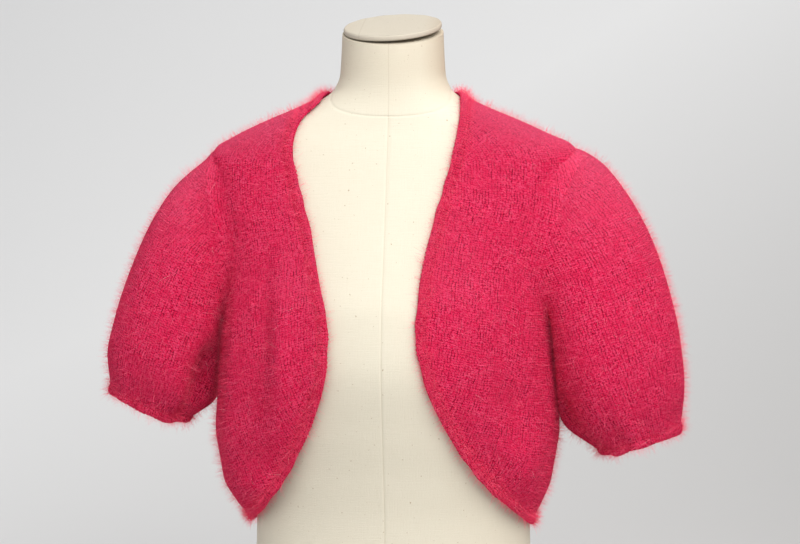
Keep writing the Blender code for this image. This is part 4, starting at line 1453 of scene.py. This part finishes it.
for name, cut in sleeveCuts.items():
    title, cuffTitle = "sleeve" + name.capitalize(), "cuff" + name.capitalize()
    outer, rimNormals = tubes[name]
    inner, counts = sleeveLining(outer, rimNormals), sleeveStitches(name, outer)
    mesh, flipped = meshFromGrids(title + "Knit", outer, inner, counts, True)
    sleeve = addPiece(title + "Knit", mesh, knitLook, "knit", "sleeve_" + name)
    fluff = addFluff(title, scalpMesh(title, outer, True, flipped), cut["seed"], "knit")
    print(title, "area", gridArea(outer, True))

    rings = cuffRings(name, outer, inner)
    count = len(outer[-1])
    stitches = np.arange(count + 1) / count * cuff["stitches"]
    middle, seed = rings.mean(axis=(0, 1)), cut["seed"] + 7
    piece, fluff = addEdging(cuffTitle, "cuff_" + name, rings, stitches, cuff, seed, 0, middle)
    length = round(float(lengthAlong(closed(outer[-1]))[-1]), 3)
    print("cuff", name, "length", length)

print("edge band")


def bandRings():
    places = np.linspace(0, len(mainLine), band["stations"], endpoint=False)
    whole = closed(mainLine)
    line = alongLine(places, np.arange(len(whole)), whole)
    run = lengthAlong(bodyPoints(line[:, 0], line[:, 1]))
    length = run[-1] + (run[1] - run[0])
    waves = round(length / band["scallopLength"])
    turn = 2 * pi * run / length
    uneven = 0.55 + 0.45 * np.sin(37 * turn + 2.5 * np.sin(11 * turn))
    wave = np.abs(np.sin(pi * run / length * waves)) ** 0.7 * uneven
    sections = []
    for across, proud in band["profile"]:
        share = np.clip(1 - across / band["scallopReach"], 0, 1)
        place = inset(line, across - share * band["scallop"] * (wave - 0.5) * 1.6)
        normal = bodyNormals(place[:, 0], place[:, 1])
        bulge = np.exp(-(((across - band["liftMiddle"]) / band["liftHalf"]) ** 2))
        swell = band["lift"] * wave * bulge
        lift = proud + swell * (proud > -0.002)
        sections.append(bodyPoints(place[:, 0], place[:, 1]) + lift[:, None] * normal)
    return np.stack(sections, axis=1), run, length


rings, run, length = bandRings()
stitches = np.append(run, length) / band["stitch"]
middle = rings[0, 4] * (0, 0, 1)
piece, fluff = addEdging("edgeBand", "edge_band", rings, stitches, band, 606, 4, middle)
print("band length", round(float(length), 3))

print("studio")
studio = {
    "paper": (0.74, 0.735, 0.73, 1),
    "paperShadedLowRight": (0.440, 0.430, 0.422, 1),
    "air": (0.95, 0.97, 1.0, 1),
    "airStrength": 0.53,
    "front": -5.0,
    "back": 0.9,
    "bend": 3.6,
    "top": 5.0,
    "halfWidth": 6.0,
}


def backdropMesh():
    # a floor that sweeps up into a plain wall
    line = [(studio["front"], 0.0)]
    for turn in np.linspace(0, pi / 2, 25):
        line.append((studio["back"] + studio["bend"] * sin(turn), studio["bend"] * (1 - cos(turn))))
    line.append((studio["back"] + studio["bend"], studio["top"]))
    points = [(side * studio["halfWidth"], y, z) for y, z in line for side in (-1, 1)]
    faces = [(2 * k, 2 * k + 1, 2 * k + 3, 2 * k + 2) for k in range(len(line) - 1)]
    mesh = bpy.data.meshes.new("backdrop")
    mesh.from_pydata(points, [], faces)
    mesh.shade_smooth()
    return mesh


paper, tree, shader = newMaterial("backdropPaper", {"Roughness": 0.95, "Specular IOR Level": 0.1})
x, _, z = tree.parts(tree.objectPlace())
# painted shade: the paper turns darker towards its low right
shadeLowRight = (x * 0.5 + 0.55 - z * 0.8).clamped()
colour = tree.mixColours(shadeLowRight, studio["paper"], studio["paperShadedLowRight"])
tree.link(colour, shader, "Base Color")
# views from behind look through the wall's back
behind = tree.node("ShaderNodeNewGeometry", output=6)
clear = tree.node("ShaderNodeBsdfTransparent")
seen = tree.node("ShaderNodeMixShader", {}, {0: behind, 1: Value(tree, shader.outputs[0]), 2: clear})
tree.link(seen, paper.node_tree.nodes["Material Output"], "Surface")
addPiece("backdrop", backdropMesh(), paper)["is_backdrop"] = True


def addLight(name, place, target, size, power, tint):
    lamp = bpy.data.lights.new(name, "AREA")
    lamp.shape = "RECTANGLE"
    lamp.size, lamp.size_y = size
    lamp.energy = power
    lamp.color = tint
    holder = bpy.data.objects.new(name, lamp)
    holder.location = place
    aim = Vector(place) - Vector(target)
    holder.rotation_euler = aim.to_track_quat("Z", "Y").to_euler()
    bpy.context.scene.collection.objects.link(holder)


# place, target, size, power in watts, tint
lights = {
    "keyLight": ((0.82, -1.50, 1.95), (0.0, 0.0, 0.42), (1.6, 1.6), 68, (1.0, 0.985, 0.96)),
    "fillLight": ((-2.2, -1.8, 1.3), (0.0, 0.0, 0.45), (2.0, 2.0), 12, (0.97, 0.98, 1.0)),
    "wallLight": ((1.0, 1.0, 3.4), (0.4, 4.0, 0.9), (3.4, 1.6), 50, (1.0, 1.0, 0.99)),
}
for name, given in lights.items():
    addLight(name, *given)

world = bpy.data.worlds.new("studioAir")
world.use_nodes = True
air = world.node_tree.nodes["Background"].inputs
air["Color"].default_value = studio["air"]
air["Strength"].default_value = studio["airStrength"]
bpy.context.scene.world = world

view = {
    "target": Vector((0.007, 0, 0.468)),
    "azimuth": radians(5),
    "elevation": radians(4),
    "distance": 2.2,
    "width": 0.8,        # of what the picture shows at the target, in metres
    "sensor": 36,
}
camera = bpy.data.objects.new("camera", bpy.data.cameras.new("camera"))
bpy.context.scene.collection.objects.link(camera)
level = cos(view["elevation"])
away = Vector((sin(view["azimuth"]) * level, -cos(view["azimuth"]) * level, sin(view["elevation"])))
camera.location = view["target"] + away * view["distance"]
camera.rotation_euler = away.to_track_quat("Z", "Y").to_euler()
camera.data.sensor_width = view["sensor"]
camera.data.lens = view["sensor"] / (view["width"] / view["distance"])
bpy.context.scene.camera = camera
bpy.context.scene.view_settings.view_transform = "Standard"

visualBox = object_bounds()
for box in (cadBox, visualBox):
    print("box", [[round(float(v), 4) for v in corner] for corner in box])
